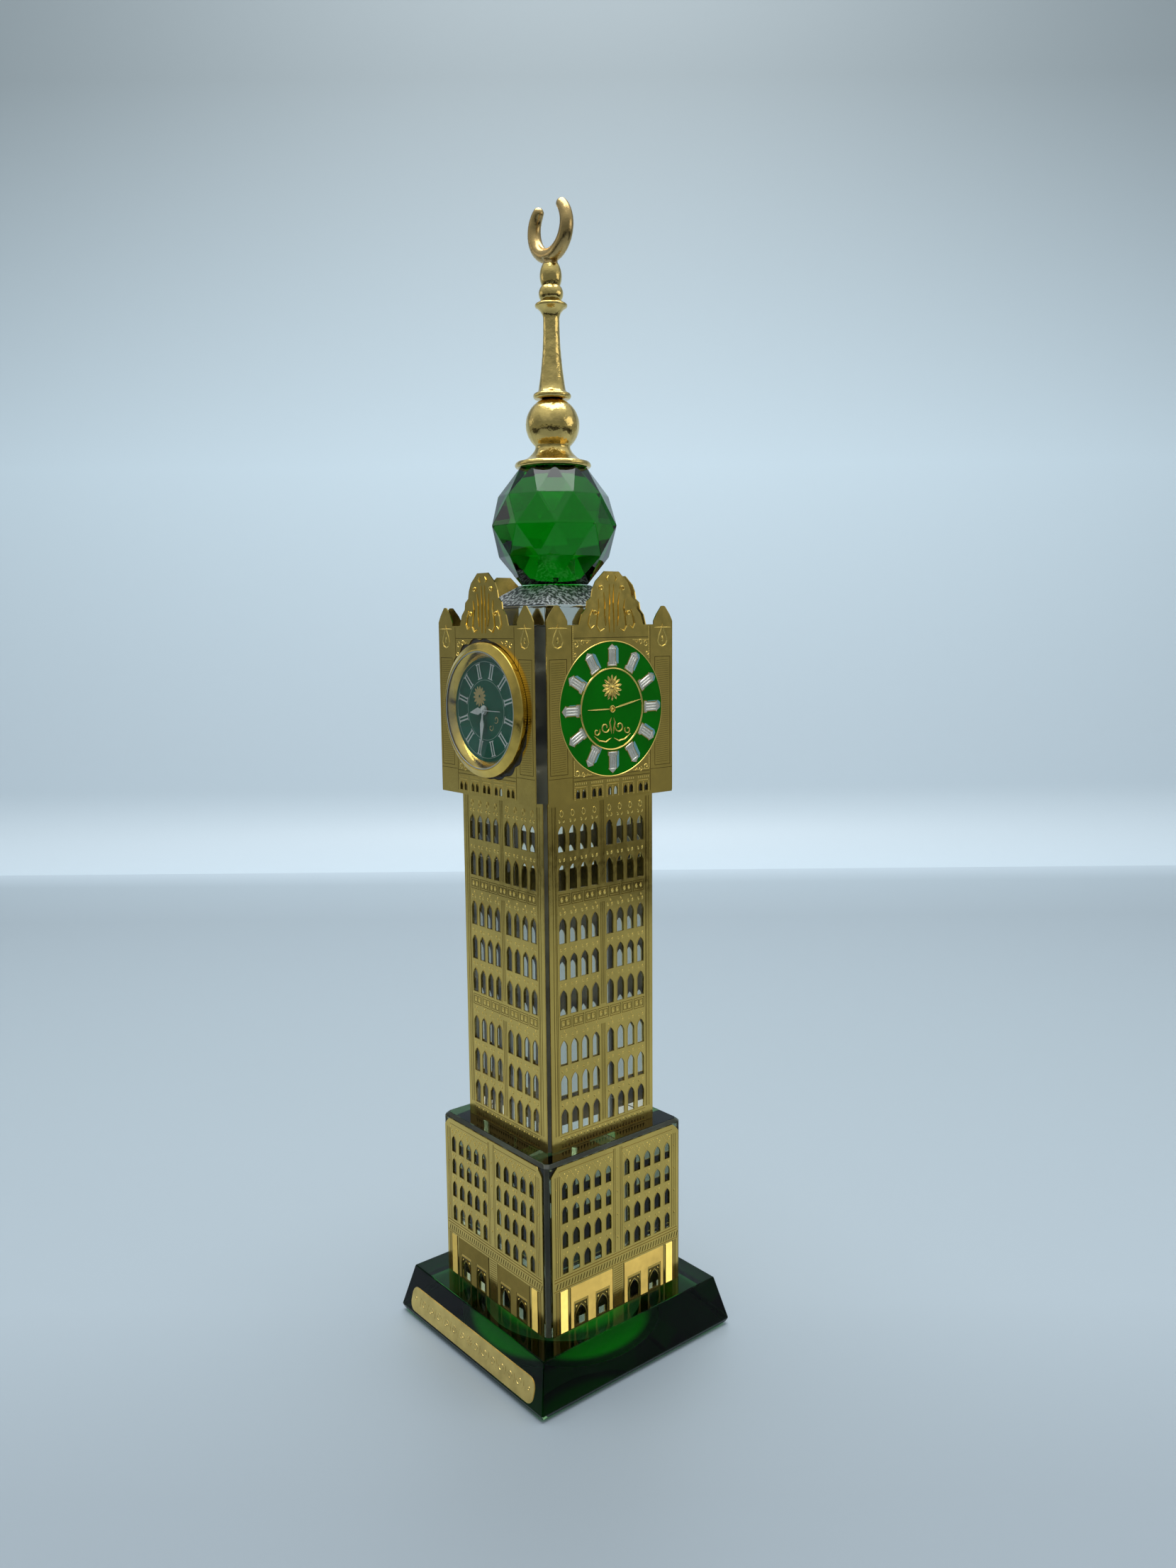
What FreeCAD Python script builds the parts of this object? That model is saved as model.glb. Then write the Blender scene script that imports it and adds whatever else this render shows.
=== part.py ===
import FreeCAD, Part
import math
import os

# Souvenir clock tower: a stack of cut-glass blocks dressed in thin etched brass sheets,
# with a push-in quartz clock, a faceted crystal ball and a gilt crescent finial.
# Millimetres, +Z up. The origin is the centre of the underside and the clock faces -Y.

V = FreeCAD.Vector
UP = V(0, 0, 1)
SIDES = ("front", "right", "back", "left")

# ---------------------------------------------------------------- tower, driving dimensions
PAD_RADIUS = 22.5
PAD_THICKNESS = 0.5

BASE_FOOT_HALF = 33.0
BASE_WIDEST_HALF = 33.6
BASE_TOP_HALF = 30.6
BASE_WIDEST_Z = 1.8
BASE_TOP_Z = 14.1

PLATE_LENGTH = 58.6
PLATE_HEIGHT = 6.8
PLATE_CORNER = 2.5
PLATE_CENTRE_Z = 5.7
PLATE_THICKNESS = 0.2

SHEET = 0.3

PODIUM_HALF = 24.0
PODIUM_CORNER = 1.0
PODIUM_TOP_Z = 61.4
PODIUM_BEVEL = 0.9

SHAFT_HALF = 18.5
SHAFT_CORNER = 1.05
SHAFT_TOP_Z = 154.7

HEAD_HALF = 22.95
HEAD_CORNER = 2.2
HEAD_TOP_Z = 198.2

NECK_HALF = 14.6
NECK_RIM_Z = 203.6
NECK_TOP_HALF = 6.7
NECK_TOP_Z = 209.0

BALL_SIDES = 10
BALL_TOP_Z = 239.3
BALL_EQUATOR_RADIUS = 17.1
BALL_SHOULDER_RADIUS = 14.6
BALL_SHOULDER_RISE = 7.85
BALL_TABLE_RADIUS = 9.1

SPHERE_Z = 250.35
SPHERE_RADIUS = 7.04
SPIRE_FOOT_Z = 256.9
SPIRE_TOP_Z = 290.4
CRESCENT_Z = 299.5
CRESCENT_RADIUS = 6.75
CRESCENT_THICK = 1.95
CRESCENT_TIP = 1.45
CRESCENT_OPENING_DEG = 46.0
CRESCENT_STEM_RADIUS = 2.0

# ---------------------------------------------------------------- etched sheets
PODIUM_SHEET_HALF = 22.5
PODIUM_SHEET_TOP_Z = 60.4
PODIUM_SHEET_CORNER = 2.2
PODIUM_GROUP_CENTRE = 10.75
PODIUM_COLUMNS = (-7.45, -3.75, 0.0, 3.75, 7.45)
PODIUM_WINDOW_WIDTH = 2.3
PODIUM_WINDOW_HEIGHT = 4.7
PODIUM_WINDOW_SILLS = (30.6, 37.7, 44.5, 51.1)
DOOR_CENTRES = (5.7, 13.2)
DOOR_WIDTH = 3.7
DOOR_SILL_Z = 14.6
DOOR_HEIGHT = 5.5

SHAFT_SHEET_HALF = 17.8
SHAFT_COLUMNS = (2.55, 6.2, 9.85, 13.45)
SHAFT_WINDOW_WIDTH = 2.4
SHAFT_WINDOW_HEIGHT = 6.8
SHAFT_WINDOW_SILLS = (65.8, 75.0, 84.4, 98.0, 107.4, 117.1, 131.0, 141.1)

HEAD_SHEET_HALF = 21.0
HEAD_SHEET_BOTTOM_Z = 154.1
HEAD_SHEET_TOP_Z = 198.5
MERLON_WIDTH = 6.6
MERLON_SHOULDER_Z = 199.4
MERLON_APEX_Z = 203.3
GABLE = ((10.7, 198.5), (9.8, 201.2), (8.4, 202.6), (8.1, 204.4), (6.7, 205.4), (6.3, 207.4),
         (5.3, 209.3), (3.2, 211.1), (2.4, 211.8))
LOGGIA_PITCH = 5.3
LOGGIA_SILL_Z = 155.2
LOGGIA_WIDTH = 1.2
LOGGIA_HEIGHT = 2.2
DIAL_Z = 177.2
DIAL_PRINT_RADIUS = 17.4
DIAL_PRINT_DEPTH = 0.1

# ---------------------------------------------------------------- clock insert
# Built around its own axis: +Z is out of the tower's front and 0 is CLOCK_SEAT in front of the glass.
CLOCK_X = 0.8
CLOCK_Z = 177.0
CLOCK_SEAT = 0.65
CLOCK_TURN_DEG = 45.0
SHEET_HOLE_RADIUS = 17.9
BORE_RADIUS = 17.0
BORE_DEPTH = 12.4
FIT = 0.05

BEZEL_RADIUS = 17.4
BEZEL_EDGE = 0.95
BEZEL_BACK = -CLOCK_SEAT
LIP_RADIUS = 15.2
LIP_FRONT = 2.4
LENS_RADIUS = 15.4
LENS_BACK = 1.45
LENS_FRONT = 2.2
DIAL_RADIUS = 13.6
DIAL_FRONT = -0.2
DIAL_BACK = -0.5
DIAL_VISIBLE_RADIUS = 13.1
CASE_RADIUS = 16.4
CASE_INNER_RADIUS = 15.45
CASE_BACK = -9.6
COVER_BACK = -10.4
GASKET_FRONT = -1.9
GASKET_BACK = -8.2

PLATE_RADIUS = 9.55
PLATE_FRONT = -1.9
PLATE_BACK = -2.6
BRIDGE_RADIUS = 9.2
BRIDGE_FRONT = -6.0
BRIDGE_BACK = -6.6
BRIDGE_FLAT_Y = -4.05
BOARD_BACK = -7.1
PILLAR_RADIUS = 0.7
PILLAR_CIRCLE = 8.3
PILLAR_ANGLES = (75, 195, 345)
SCREW_RADIUS = 0.35

# Tooth counts and modules of the going train and the motion work.
TRAIN_MODULE = 0.09
CENTRE_MODULE = 0.085
ROTOR_MODULE = 0.085
SECONDS_MODULE = 0.11
MOTION_MODULE = 0.13
ROTOR_TEETH = 12
INTERMEDIATE_TEETH = 60
INTERMEDIATE_PINION = 8
SECONDS_TEETH = 48
SECONDS_PINION = 8
THIRD_TEETH = 60
THIRD_PINION = 8
CENTRE_TEETH = 64
CANNON_TEETH = 12
MINUTE_TEETH = 36
MINUTE_PINION = 10
HOUR_TEETH = 40
KNOB_TEETH = 12

# Back and front of each wheel and pinion.
SECONDS_WHEEL_LAYER = (-4.6, -4.4)
SECONDS_PINION_LAYER = (-3.95, -3.4)
THIRD_WHEEL_LAYER = (-3.8, -3.6)
THIRD_PINION_LAYER = (-3.15, -2.65)
CENTRE_WHEEL_LAYER = (-3.0, -2.8)
CENTRE_TUBE_LAYER = (-3.1, 0.78)
INTERMEDIATE_PINION_LAYER = (-4.75, -4.25)
INTERMEDIATE_WHEEL_LAYER = (-5.3, -5.1)
ROTOR_PINION_LAYER = (-5.45, -4.95)
CANNON_FRONT = -1.35
KNOB_PINION_FRONT = -1.55
MINUTE_WHEEL_LAYER = (-1.8, -1.6)
MINUTE_PINION_LAYER = (-1.6, -1.0)
HOUR_WHEEL_LAYER = (-1.25, -1.05)
HOUR_PIPE_LAYER = (-1.25, 0.42)
POST_FRONT = -0.8

ARBOR = 0.15
ARBOR_BACK = BRIDGE_BACK + 0.2
ARBOR_FRONT = PLATE_BACK + 0.4
SECONDS_ARBOR = 0.2
SECONDS_ARBOR_FRONT = 1.15
CENTRE_TUBE = 0.55
CENTRE_TUBE_BORE = 0.28
HOUR_PIPE = 0.85
HOUR_PIPE_BORE = 0.62
POST = 0.25
KNOB_ARBOR = 0.25
ROTOR_MAGNET_RADIUS = 0.85
KNOB_RADIUS = 2.2
KNOB_BACK = COVER_BACK - 1.3
KNURLS = 24

BATTERY_CENTRE = (-3.9, 2.4)
BATTERY_RADIUS = 3.4
BATTERY_HEIGHT = 2.6
HATCH_RADIUS = 4.22

HOUR_HAND_DEG = 307.0
MINUTE_HAND_DEG = 231.0
SECOND_HAND_DEG = 135.0


# ---------------------------------------------------------------- helpers
def polygon(points):
    """Closed flat wire through the points."""
    return Part.makePolygon([V(*p) for p in points] + [V(*points[0])])


def prism(points, z0, z1):
    """Straight prism on an outline of (x, y) points."""
    wire = polygon([(x, y, z0) for x, y in points])
    return Part.Face(wire).extrude(V(0, 0, z1 - z0))


def disc(radius, z0, z1, x=0.0, y=0.0):
    return Part.makeCylinder(radius, z1 - z0, V(x, y, z0), UP)


def tube(outer, inner, z0, z1, x=0.0, y=0.0):
    return disc(outer, z0, z1, x, y).cut(disc(inner, z0, z1, x, y))


def lathe(steps):
    """Solid of revolution. A step is a point (r, z), or two points for an arc through the first."""
    edges = []
    here = steps[0]
    for step in list(steps[1:]) + [steps[0]]:
        if isinstance(step[0], tuple):
            middle, end = step
            arc = Part.Arc(V(here[0], 0, here[1]), V(middle[0], 0, middle[1]), V(end[0], 0, end[1]))
            edges.append(arc.toShape())
            here = end
        else:
            edges.append(Part.makeLine(V(here[0], 0, here[1]), V(step[0], 0, step[1])))
            here = step
    return Part.Face(Part.Wire(edges)).revolve(V(0, 0, 0), UP, 360)


def chamfered_square(half, leg, z):
    """Wire of a square with cut corners."""
    flat = half - leg
    return polygon([(flat, -half, z), (half, -flat, z), (half, flat, z), (flat, half, z),
                    (-flat, half, z), (-half, flat, z), (-half, -flat, z), (-flat, -half, z)])


def stack(wires):
    """Solid with straight faces through a list of similar wires."""
    return Part.makeLoft(wires, True, True)


def square(half, z):
    return polygon([(half, -half, z), (half, half, z), (-half, half, z), (-half, -half, z)])


def arch(u, sill, width, height):
    """Pointed-arch window outline in the XZ plane."""
    half = width / 2
    spring = sill + height - 0.8 * width
    apex = V(u, 0, sill + height)
    left = V(u - half, 0, spring)
    right = V(u + half, 0, spring)
    bow = 0.62
    right_middle = V(u + bow * half, 0, spring + 0.48 * width)
    left_middle = V(u - bow * half, 0, spring + 0.48 * width)
    return Part.Wire([
        Part.makeLine(V(u - half, 0, sill), V(u + half, 0, sill)),
        Part.makeLine(V(u + half, 0, sill), right),
        Part.Arc(right, right_middle, apex).toShape(),
        Part.Arc(apex, left_middle, left).toShape(),
        Part.makeLine(left, V(u - half, 0, sill))])


def sheet(outline, openings, face_half):
    """Thin sheet lying on a block face at y = -face_half, with openings through it."""
    outer = polygon([(u, 0, z) for u, z in outline])
    face = Part.makeFace([outer] + openings, "Part::FaceMakerBullseye")
    solid = face.extrude(V(0, -SHEET, 0))
    solid.translate(V(0, -face_half, 0))
    return solid


def turned(shape, quarter):
    """Copy of a front-face piece on the side a number of quarter turns round."""
    copy = shape.copy()
    copy.rotate(V(0, 0, 0), UP, 90 * quarter)
    return copy


def mirrored(values):
    return [sign * value for sign in (-1, 1) for value in values]


# ---------------------------------------------------------------- glass blocks
def base_pad():
    return disc(PAD_RADIUS, 0, PAD_THICKNESS)


def base_block():
    return stack([square(BASE_FOOT_HALF, PAD_THICKNESS), square(BASE_WIDEST_HALF, BASE_WIDEST_Z),
                  square(BASE_TOP_HALF, BASE_TOP_Z)])


def name_plate():
    """Foil plate on the sloping front of the base."""
    run = BASE_WIDEST_HALF - BASE_TOP_HALF
    rise = BASE_TOP_Z - BASE_WIDEST_Z
    plate = Part.makeBox(PLATE_LENGTH, PLATE_HEIGHT, PLATE_THICKNESS,
                         V(-PLATE_LENGTH / 2, -PLATE_HEIGHT / 2, 0))
    corners = [edge for edge in plate.Edges
               if abs(edge.Vertexes[0].Point.z - edge.Vertexes[1].Point.z) > PLATE_THICKNESS / 2]
    plate = plate.makeFillet(PLATE_CORNER, corners)
    plate.rotate(V(0, 0, 0), V(1, 0, 0), math.degrees(math.atan2(rise, run)))
    slope_y = -BASE_WIDEST_HALF + run * (PLATE_CENTRE_Z - BASE_WIDEST_Z) / rise
    plate.translate(V(0, slope_y, PLATE_CENTRE_Z))
    return plate


def podium_block():
    shoulder = PODIUM_TOP_Z - PODIUM_BEVEL
    return stack([chamfered_square(PODIUM_HALF, PODIUM_CORNER, BASE_TOP_Z),
                  chamfered_square(PODIUM_HALF, PODIUM_CORNER, shoulder),
                  chamfered_square(PODIUM_HALF - PODIUM_BEVEL, PODIUM_CORNER, PODIUM_TOP_Z)])


def shaft_block():
    return stack([chamfered_square(SHAFT_HALF, SHAFT_CORNER, PODIUM_TOP_Z),
                  chamfered_square(SHAFT_HALF, SHAFT_CORNER, SHAFT_TOP_Z)])


def head_block():
    """Glass head with the blind bore that the clock insert pushes into."""
    block = stack([chamfered_square(HEAD_HALF, HEAD_CORNER, SHAFT_TOP_Z),
                   chamfered_square(HEAD_HALF, HEAD_CORNER, HEAD_TOP_Z)])
    bore = Part.makeCylinder(BORE_RADIUS, BORE_DEPTH, V(CLOCK_X, -HEAD_HALF, CLOCK_Z), V(0, 1, 0))
    return block.cut(bore)


def neck_block():
    return stack([square(NECK_HALF, HEAD_TOP_Z), square(NECK_HALF, NECK_RIM_Z),
                  square(NECK_TOP_HALF, NECK_TOP_Z)])


def crystal_ball():
    """Ball cut with rows of triangles between a flat top and bottom table."""
    centre = (NECK_TOP_Z + BALL_TOP_Z) / 2
    table_rise = BALL_TOP_Z - centre
    step = 360 / BALL_SIDES
    rows = ((BALL_TABLE_RADIUS, -table_rise, 0), (BALL_SHOULDER_RADIUS, -BALL_SHOULDER_RISE, 0.5),
            (BALL_EQUATOR_RADIUS, 0, 0), (BALL_SHOULDER_RADIUS, BALL_SHOULDER_RISE, 0.5),
            (BALL_TABLE_RADIUS, table_rise, 0))
    rings = []
    for radius, rise, shift in rows:
        angles = [math.radians(step * (k + shift)) for k in range(BALL_SIDES)]
        rings.append([(radius * math.cos(a), radius * math.sin(a), centre + rise) for a in angles])
    faces = [Part.Face(polygon(rings[0])), Part.Face(polygon(rings[-1]))]
    for row in range(len(rings) - 1):
        lower, upper = rings[row], rings[row + 1]
        lower_leads = rows[row][2] == 0
        for k in range(BALL_SIDES):
            after = (k + 1) % BALL_SIDES
            if lower_leads:
                faces.append(Part.Face(polygon([lower[k], lower[after], upper[k]])))
                faces.append(Part.Face(polygon([upper[k], upper[after], lower[after]])))
            else:
                faces.append(Part.Face(polygon([lower[k], lower[after], upper[after]])))
                faces.append(Part.Face(polygon([upper[k], upper[after], lower[k]])))
    return Part.Solid(Part.Shell(faces))


# ---------------------------------------------------------------- gilt finial
def finial_base():
    """Flange and sphere."""
    flange = lathe([(0, BALL_TOP_Z), (9.2, BALL_TOP_Z), ((9.9, 239.6), (9.85, 240.5)),
                    ((9.6, 240.8), (9.0, 240.95)), ((6.3, 242.2), (4.65, 244.25)),
                    (4.65, 246.5), (0, 246.5)])
    ball = Part.makeSphere(SPHERE_RADIUS, V(0, 0, SPHERE_Z))
    crop = disc(2 * SPHERE_RADIUS, BALL_TOP_Z, SPIRE_FOOT_Z)
    return flange.fuse(ball.common(crop)).removeSplitter()


def finial_spire():
    """Collar, long taper, upper collar and two bulbs."""
    return lathe([(0, SPIRE_FOOT_Z), (4.1, SPIRE_FOOT_Z), ((4.96, 257.65), (4.2, 258.5)), (3.58, 259.1),
                  ((2.55, 267.0), (2.13, 276.6)), ((2.6, 278.6), (4.0, 279.9)), ((4.2, 280.35), (3.9, 280.8)),
                  (2.6, 281.6), ((3.18, 283.4), (2.38, 285.2)), ((2.84, 287.75), (2.19, SPIRE_TOP_Z)),
                  (0, SPIRE_TOP_Z)])


def crescent():
    """Open ring standing on a short stem, thicker at the bottom than at its round tips."""
    sections = []
    count = 15
    span = 360 - 2 * CRESCENT_OPENING_DEG
    for k in range(count):
        share = k / (count - 1)
        angle = math.radians(CRESCENT_OPENING_DEG + span * share)
        thick = CRESCENT_TIP + (CRESCENT_THICK - CRESCENT_TIP) * math.sin(math.pi * share) ** 0.7
        centre = V(CRESCENT_RADIUS * math.sin(angle), 0, CRESCENT_Z + CRESCENT_RADIUS * math.cos(angle))
        along = V(math.cos(angle), 0, -math.sin(angle))
        sections.append(Part.Wire(Part.makeCircle(thick, centre, along)))
    ring = Part.makeLoft(sections, True, False)
    for sign in (-1, 1):
        angle = math.radians(sign * CRESCENT_OPENING_DEG)
        tip = V(CRESCENT_RADIUS * math.sin(angle), 0, CRESCENT_Z + CRESCENT_RADIUS * math.cos(angle))
        ring = ring.fuse(Part.makeSphere(CRESCENT_TIP, tip))
    stem = disc(CRESCENT_STEM_RADIUS, SPIRE_TOP_Z, CRESCENT_Z - CRESCENT_RADIUS)
    return ring.fuse(stem).removeSplitter()


# ---------------------------------------------------------------- etched sheets
def podium_sheet():
    """Four rows of paired window groups over four pointed doorways."""
    cut = PODIUM_SHEET_CORNER
    half = PODIUM_SHEET_HALF
    outline = [(-half, BASE_TOP_Z), (half, BASE_TOP_Z), (half, PODIUM_SHEET_TOP_Z - cut),
               (half - cut, PODIUM_SHEET_TOP_Z), (cut - half, PODIUM_SHEET_TOP_Z),
               (-half, PODIUM_SHEET_TOP_Z - cut)]
    openings = []
    for group in mirrored([PODIUM_GROUP_CENTRE]):
        for offset in PODIUM_COLUMNS:
            for sill in PODIUM_WINDOW_SILLS:
                openings.append(arch(group + offset, sill, PODIUM_WINDOW_WIDTH, PODIUM_WINDOW_HEIGHT))
    for u in mirrored(DOOR_CENTRES):
        openings.append(arch(u, DOOR_SILL_Z, DOOR_WIDTH, DOOR_HEIGHT))
    return sheet(outline, openings, PODIUM_HALF)


def shaft_sheet():
    """Eight columns and eight rows of pointed windows."""
    half = SHAFT_SHEET_HALF
    top = HEAD_SHEET_BOTTOM_Z + 0.5
    outline = [(-half, PODIUM_TOP_Z), (half, PODIUM_TOP_Z), (half, top), (-half, top)]
    openings = [arch(u, sill, SHAFT_WINDOW_WIDTH, SHAFT_WINDOW_HEIGHT)
                for u in mirrored(SHAFT_COLUMNS) for sill in SHAFT_WINDOW_SILLS]
    return sheet(outline, openings, SHAFT_HALF)


def head_outline():
    """Square face with a merlon at each end and a curved gable between them."""
    half = HEAD_SHEET_HALF
    inner = half - MERLON_WIDTH
    right = [(half, MERLON_SHOULDER_Z), (half - 0.15 * MERLON_WIDTH, MERLON_SHOULDER_Z + 1.7),
             (half - 0.42 * MERLON_WIDTH, MERLON_APEX_Z), (half - 0.58 * MERLON_WIDTH, MERLON_APEX_Z),
             (half - 0.85 * MERLON_WIDTH, MERLON_SHOULDER_Z + 1.7), (inner, MERLON_SHOULDER_Z),
             (inner, HEAD_SHEET_TOP_Z)] + list(GABLE)
    left = [(-u, z) for u, z in reversed(right)]
    return [(-half, HEAD_SHEET_BOTTOM_Z), (half, HEAD_SHEET_BOTTOM_Z)] + right + left


def circle(radius, u, z):
    return Part.Wire(Part.makeCircle(radius, V(u, 0, z), V(0, 1, 0)))


def head_sheet(has_clock):
    openings = []
    for pair in range(-2, 3):
        for side in (-0.5, 0.5):
            u = pair * LOGGIA_PITCH + side * 2.0
            openings.append(arch(u, LOGGIA_SILL_Z, LOGGIA_WIDTH, LOGGIA_HEIGHT))
    if has_clock:
        openings.append(circle(SHEET_HOLE_RADIUS, CLOCK_X, CLOCK_Z))
        return sheet(head_outline(), openings, HEAD_HALF)
    return sheet(head_outline(), openings, HEAD_HALF).cut(dial_enamel())


def dial_enamel():
    """Green enamel dial filled into the face of a head sheet."""
    front = -HEAD_HALF - SHEET
    return Part.makeCylinder(DIAL_PRINT_RADIUS, DIAL_PRINT_DEPTH, V(0, front, DIAL_Z), V(0, 1, 0))


# ---------------------------------------------------------------- gears
def gear(teeth, module, z0, z1, phase_deg=0.0, x=0.0, y=0.0):
    """Spur gear with straight-sided teeth; one tooth points along phase_deg."""
    pitch = 360 / teeth
    root = module * (teeth / 2 - 1.2)
    tip = module * (teeth / 2 + 0.9)
    points = []
    for k in range(teeth):
        for radius, share in ((root, -0.34), (tip, -0.12), (tip, 0.12), (root, 0.34)):
            angle = math.radians(phase_deg + pitch * (k + share))
            points.append((x + radius * math.cos(angle), y + radius * math.sin(angle)))
    return prism(points, z0, z1)


def mesh_phase(line_deg, driver_phase, driver_teeth, teeth):
    """Phase that puts a gear in mesh with a driver; line_deg points from the driver to it."""
    driver_pitch = 360 / driver_teeth
    share = ((line_deg - driver_phase) % driver_pitch) / driver_pitch
    return line_deg + 180 - (0.5 - share) * 360 / teeth


def polar(distance, degrees, origin=(0.0, 0.0)):
    angle = math.radians(degrees)
    return (origin[0] + distance * math.cos(angle), origin[1] + distance * math.sin(angle))


def centre_distance(module, first, second):
    return module * (first + second) / 2


INTERMEDIATE_LINE = 150
THIRD_LINE = 20
ROTOR_LINE = 200
MINUTE_LINE = -90
KNOB_LINE = -10
INTERMEDIATE_AT = polar(centre_distance(SECONDS_MODULE, SECONDS_TEETH, INTERMEDIATE_PINION),
                        INTERMEDIATE_LINE)
THIRD_AT = polar(centre_distance(TRAIN_MODULE, SECONDS_PINION, THIRD_TEETH), THIRD_LINE)
ROTOR_AT = polar(centre_distance(ROTOR_MODULE, INTERMEDIATE_TEETH, ROTOR_TEETH), ROTOR_LINE, INTERMEDIATE_AT)
PIVOTS_AT = (THIRD_AT, INTERMEDIATE_AT, ROTOR_AT)
MINUTE_AT = polar(centre_distance(MOTION_MODULE, CANNON_TEETH, MINUTE_TEETH), MINUTE_LINE)
KNOB_AT = polar(centre_distance(MOTION_MODULE, MINUTE_TEETH, KNOB_TEETH), KNOB_LINE, MINUTE_AT)
HOUR_MODULE = 2 * centre_distance(MOTION_MODULE, CANNON_TEETH, MINUTE_TEETH) / (MINUTE_PINION + HOUR_TEETH)


def merge(*shapes):
    return shapes[0].multiFuse(list(shapes[1:])).removeSplitter()


def seconds_wheel():
    wheel = gear(SECONDS_TEETH, SECONDS_MODULE, *SECONDS_WHEEL_LAYER)
    pinion = gear(SECONDS_PINION, TRAIN_MODULE, *SECONDS_PINION_LAYER)
    collar = disc(2 * SECONDS_ARBOR, SECONDS_WHEEL_LAYER[1], SECONDS_PINION_LAYER[0])
    return merge(disc(SECONDS_ARBOR, ARBOR_BACK, SECONDS_ARBOR_FRONT), wheel, pinion, collar)


def third_wheel():
    x, y = THIRD_AT
    wheel_phase = mesh_phase(THIRD_LINE, 0, SECONDS_PINION, THIRD_TEETH)
    return merge(disc(ARBOR, ARBOR_BACK, ARBOR_FRONT, x, y),
                 gear(THIRD_TEETH, TRAIN_MODULE, *THIRD_WHEEL_LAYER, wheel_phase, x, y),
                 gear(THIRD_PINION, CENTRE_MODULE, *THIRD_PINION_LAYER, 0, x, y))


def centre_wheel():
    """Carries the cannon pinion and the tube that the minute hand sits on."""
    wheel_phase = mesh_phase(THIRD_LINE + 180, 0, THIRD_PINION, CENTRE_TEETH)
    solid = merge(disc(CENTRE_TUBE, *CENTRE_TUBE_LAYER),
                  gear(CENTRE_TEETH, CENTRE_MODULE, *CENTRE_WHEEL_LAYER, wheel_phase),
                  gear(CANNON_TEETH, MOTION_MODULE, PLATE_FRONT + FIT, CANNON_FRONT))
    return solid.cut(disc(CENTRE_TUBE_BORE, *CENTRE_TUBE_LAYER))


def intermediate_wheel():
    x, y = INTERMEDIATE_AT
    pinion_phase = mesh_phase(INTERMEDIATE_LINE, 0, SECONDS_TEETH, INTERMEDIATE_PINION)
    return merge(disc(ARBOR, ARBOR_BACK, ARBOR_FRONT, x, y),
                 gear(INTERMEDIATE_PINION, SECONDS_MODULE, *INTERMEDIATE_PINION_LAYER, pinion_phase, x, y),
                 gear(INTERMEDIATE_TEETH, ROTOR_MODULE, *INTERMEDIATE_WHEEL_LAYER, 0, x, y))


def rotor():
    x, y = ROTOR_AT
    phase = mesh_phase(ROTOR_LINE, 0, INTERMEDIATE_TEETH, ROTOR_TEETH)
    return merge(disc(ARBOR, ARBOR_BACK, ARBOR_FRONT, x, y),
                 gear(ROTOR_TEETH, ROTOR_MODULE, *ROTOR_PINION_LAYER, phase, x, y),
                 disc(ROTOR_MAGNET_RADIUS, BRIDGE_FRONT + FIT, ROTOR_PINION_LAYER[0], x, y))


def minute_wheel_phase():
    return mesh_phase(MINUTE_LINE, 0, CANNON_TEETH, MINUTE_TEETH)


def minute_wheel():
    x, y = MINUTE_AT
    solid = merge(gear(MINUTE_TEETH, MOTION_MODULE, *MINUTE_WHEEL_LAYER, minute_wheel_phase(), x, y),
                  gear(MINUTE_PINION, HOUR_MODULE, *MINUTE_PINION_LAYER, 0, x, y))
    return solid.cut(disc(POST + FIT, MINUTE_WHEEL_LAYER[0], MINUTE_PINION_LAYER[1], x, y))


def hour_wheel():
    phase = mesh_phase(MINUTE_LINE + 180, 0, MINUTE_PINION, HOUR_TEETH)
    solid = merge(disc(HOUR_PIPE, *HOUR_PIPE_LAYER), gear(HOUR_TEETH, HOUR_MODULE, *HOUR_WHEEL_LAYER, phase))
    return solid.cut(disc(HOUR_PIPE_BORE, *HOUR_PIPE_LAYER))


def setting_knob():
    """Knurled knob on the back, its pinion in mesh with the minute wheel."""
    x, y = KNOB_AT
    phase = mesh_phase(KNOB_LINE, minute_wheel_phase(), MINUTE_TEETH, KNOB_TEETH)
    head = gear(KNURLS, 2 * KNOB_RADIUS / (KNURLS + 1.8), KNOB_BACK, COVER_BACK - 0.1, 0, x, y)
    return merge(disc(KNOB_ARBOR, KNOB_BACK, KNOB_PINION_FRONT, x, y), head,
                 gear(KNOB_TEETH, MOTION_MODULE, PLATE_FRONT + FIT, KNOB_PINION_FRONT, phase, x, y))


# ---------------------------------------------------------------- insert shell
def bezel():
    return lathe([(CASE_INNER_RADIUS, BEZEL_BACK), (BEZEL_RADIUS, BEZEL_BACK), (BEZEL_RADIUS, BEZEL_EDGE),
                  ((17.3, 1.19), (17.05, 1.3)), (15.45, LIP_FRONT), (LIP_RADIUS, LIP_FRONT - 0.05),
                  (LIP_RADIUS, LENS_FRONT), (CASE_INNER_RADIUS, LENS_FRONT)])


def lens():
    return disc(LENS_RADIUS, LENS_BACK, LENS_FRONT)


def reflector_ring():
    """Polished cone that runs from the lens down to the dial."""
    outer = LENS_RADIUS
    rim = DIAL_RADIUS + FIT
    return lathe([(outer, LENS_BACK), (outer - 0.4, LENS_BACK), (DIAL_VISIBLE_RADIUS, DIAL_FRONT),
                  (rim, DIAL_FRONT), (rim, DIAL_BACK), (outer, DIAL_BACK)])


def dial_disc():
    return tube(DIAL_RADIUS, HOUR_PIPE + 0.1, DIAL_BACK, DIAL_FRONT)


def case_ring():
    return tube(CASE_RADIUS, CASE_INNER_RADIUS, CASE_BACK, BEZEL_BACK)


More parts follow.
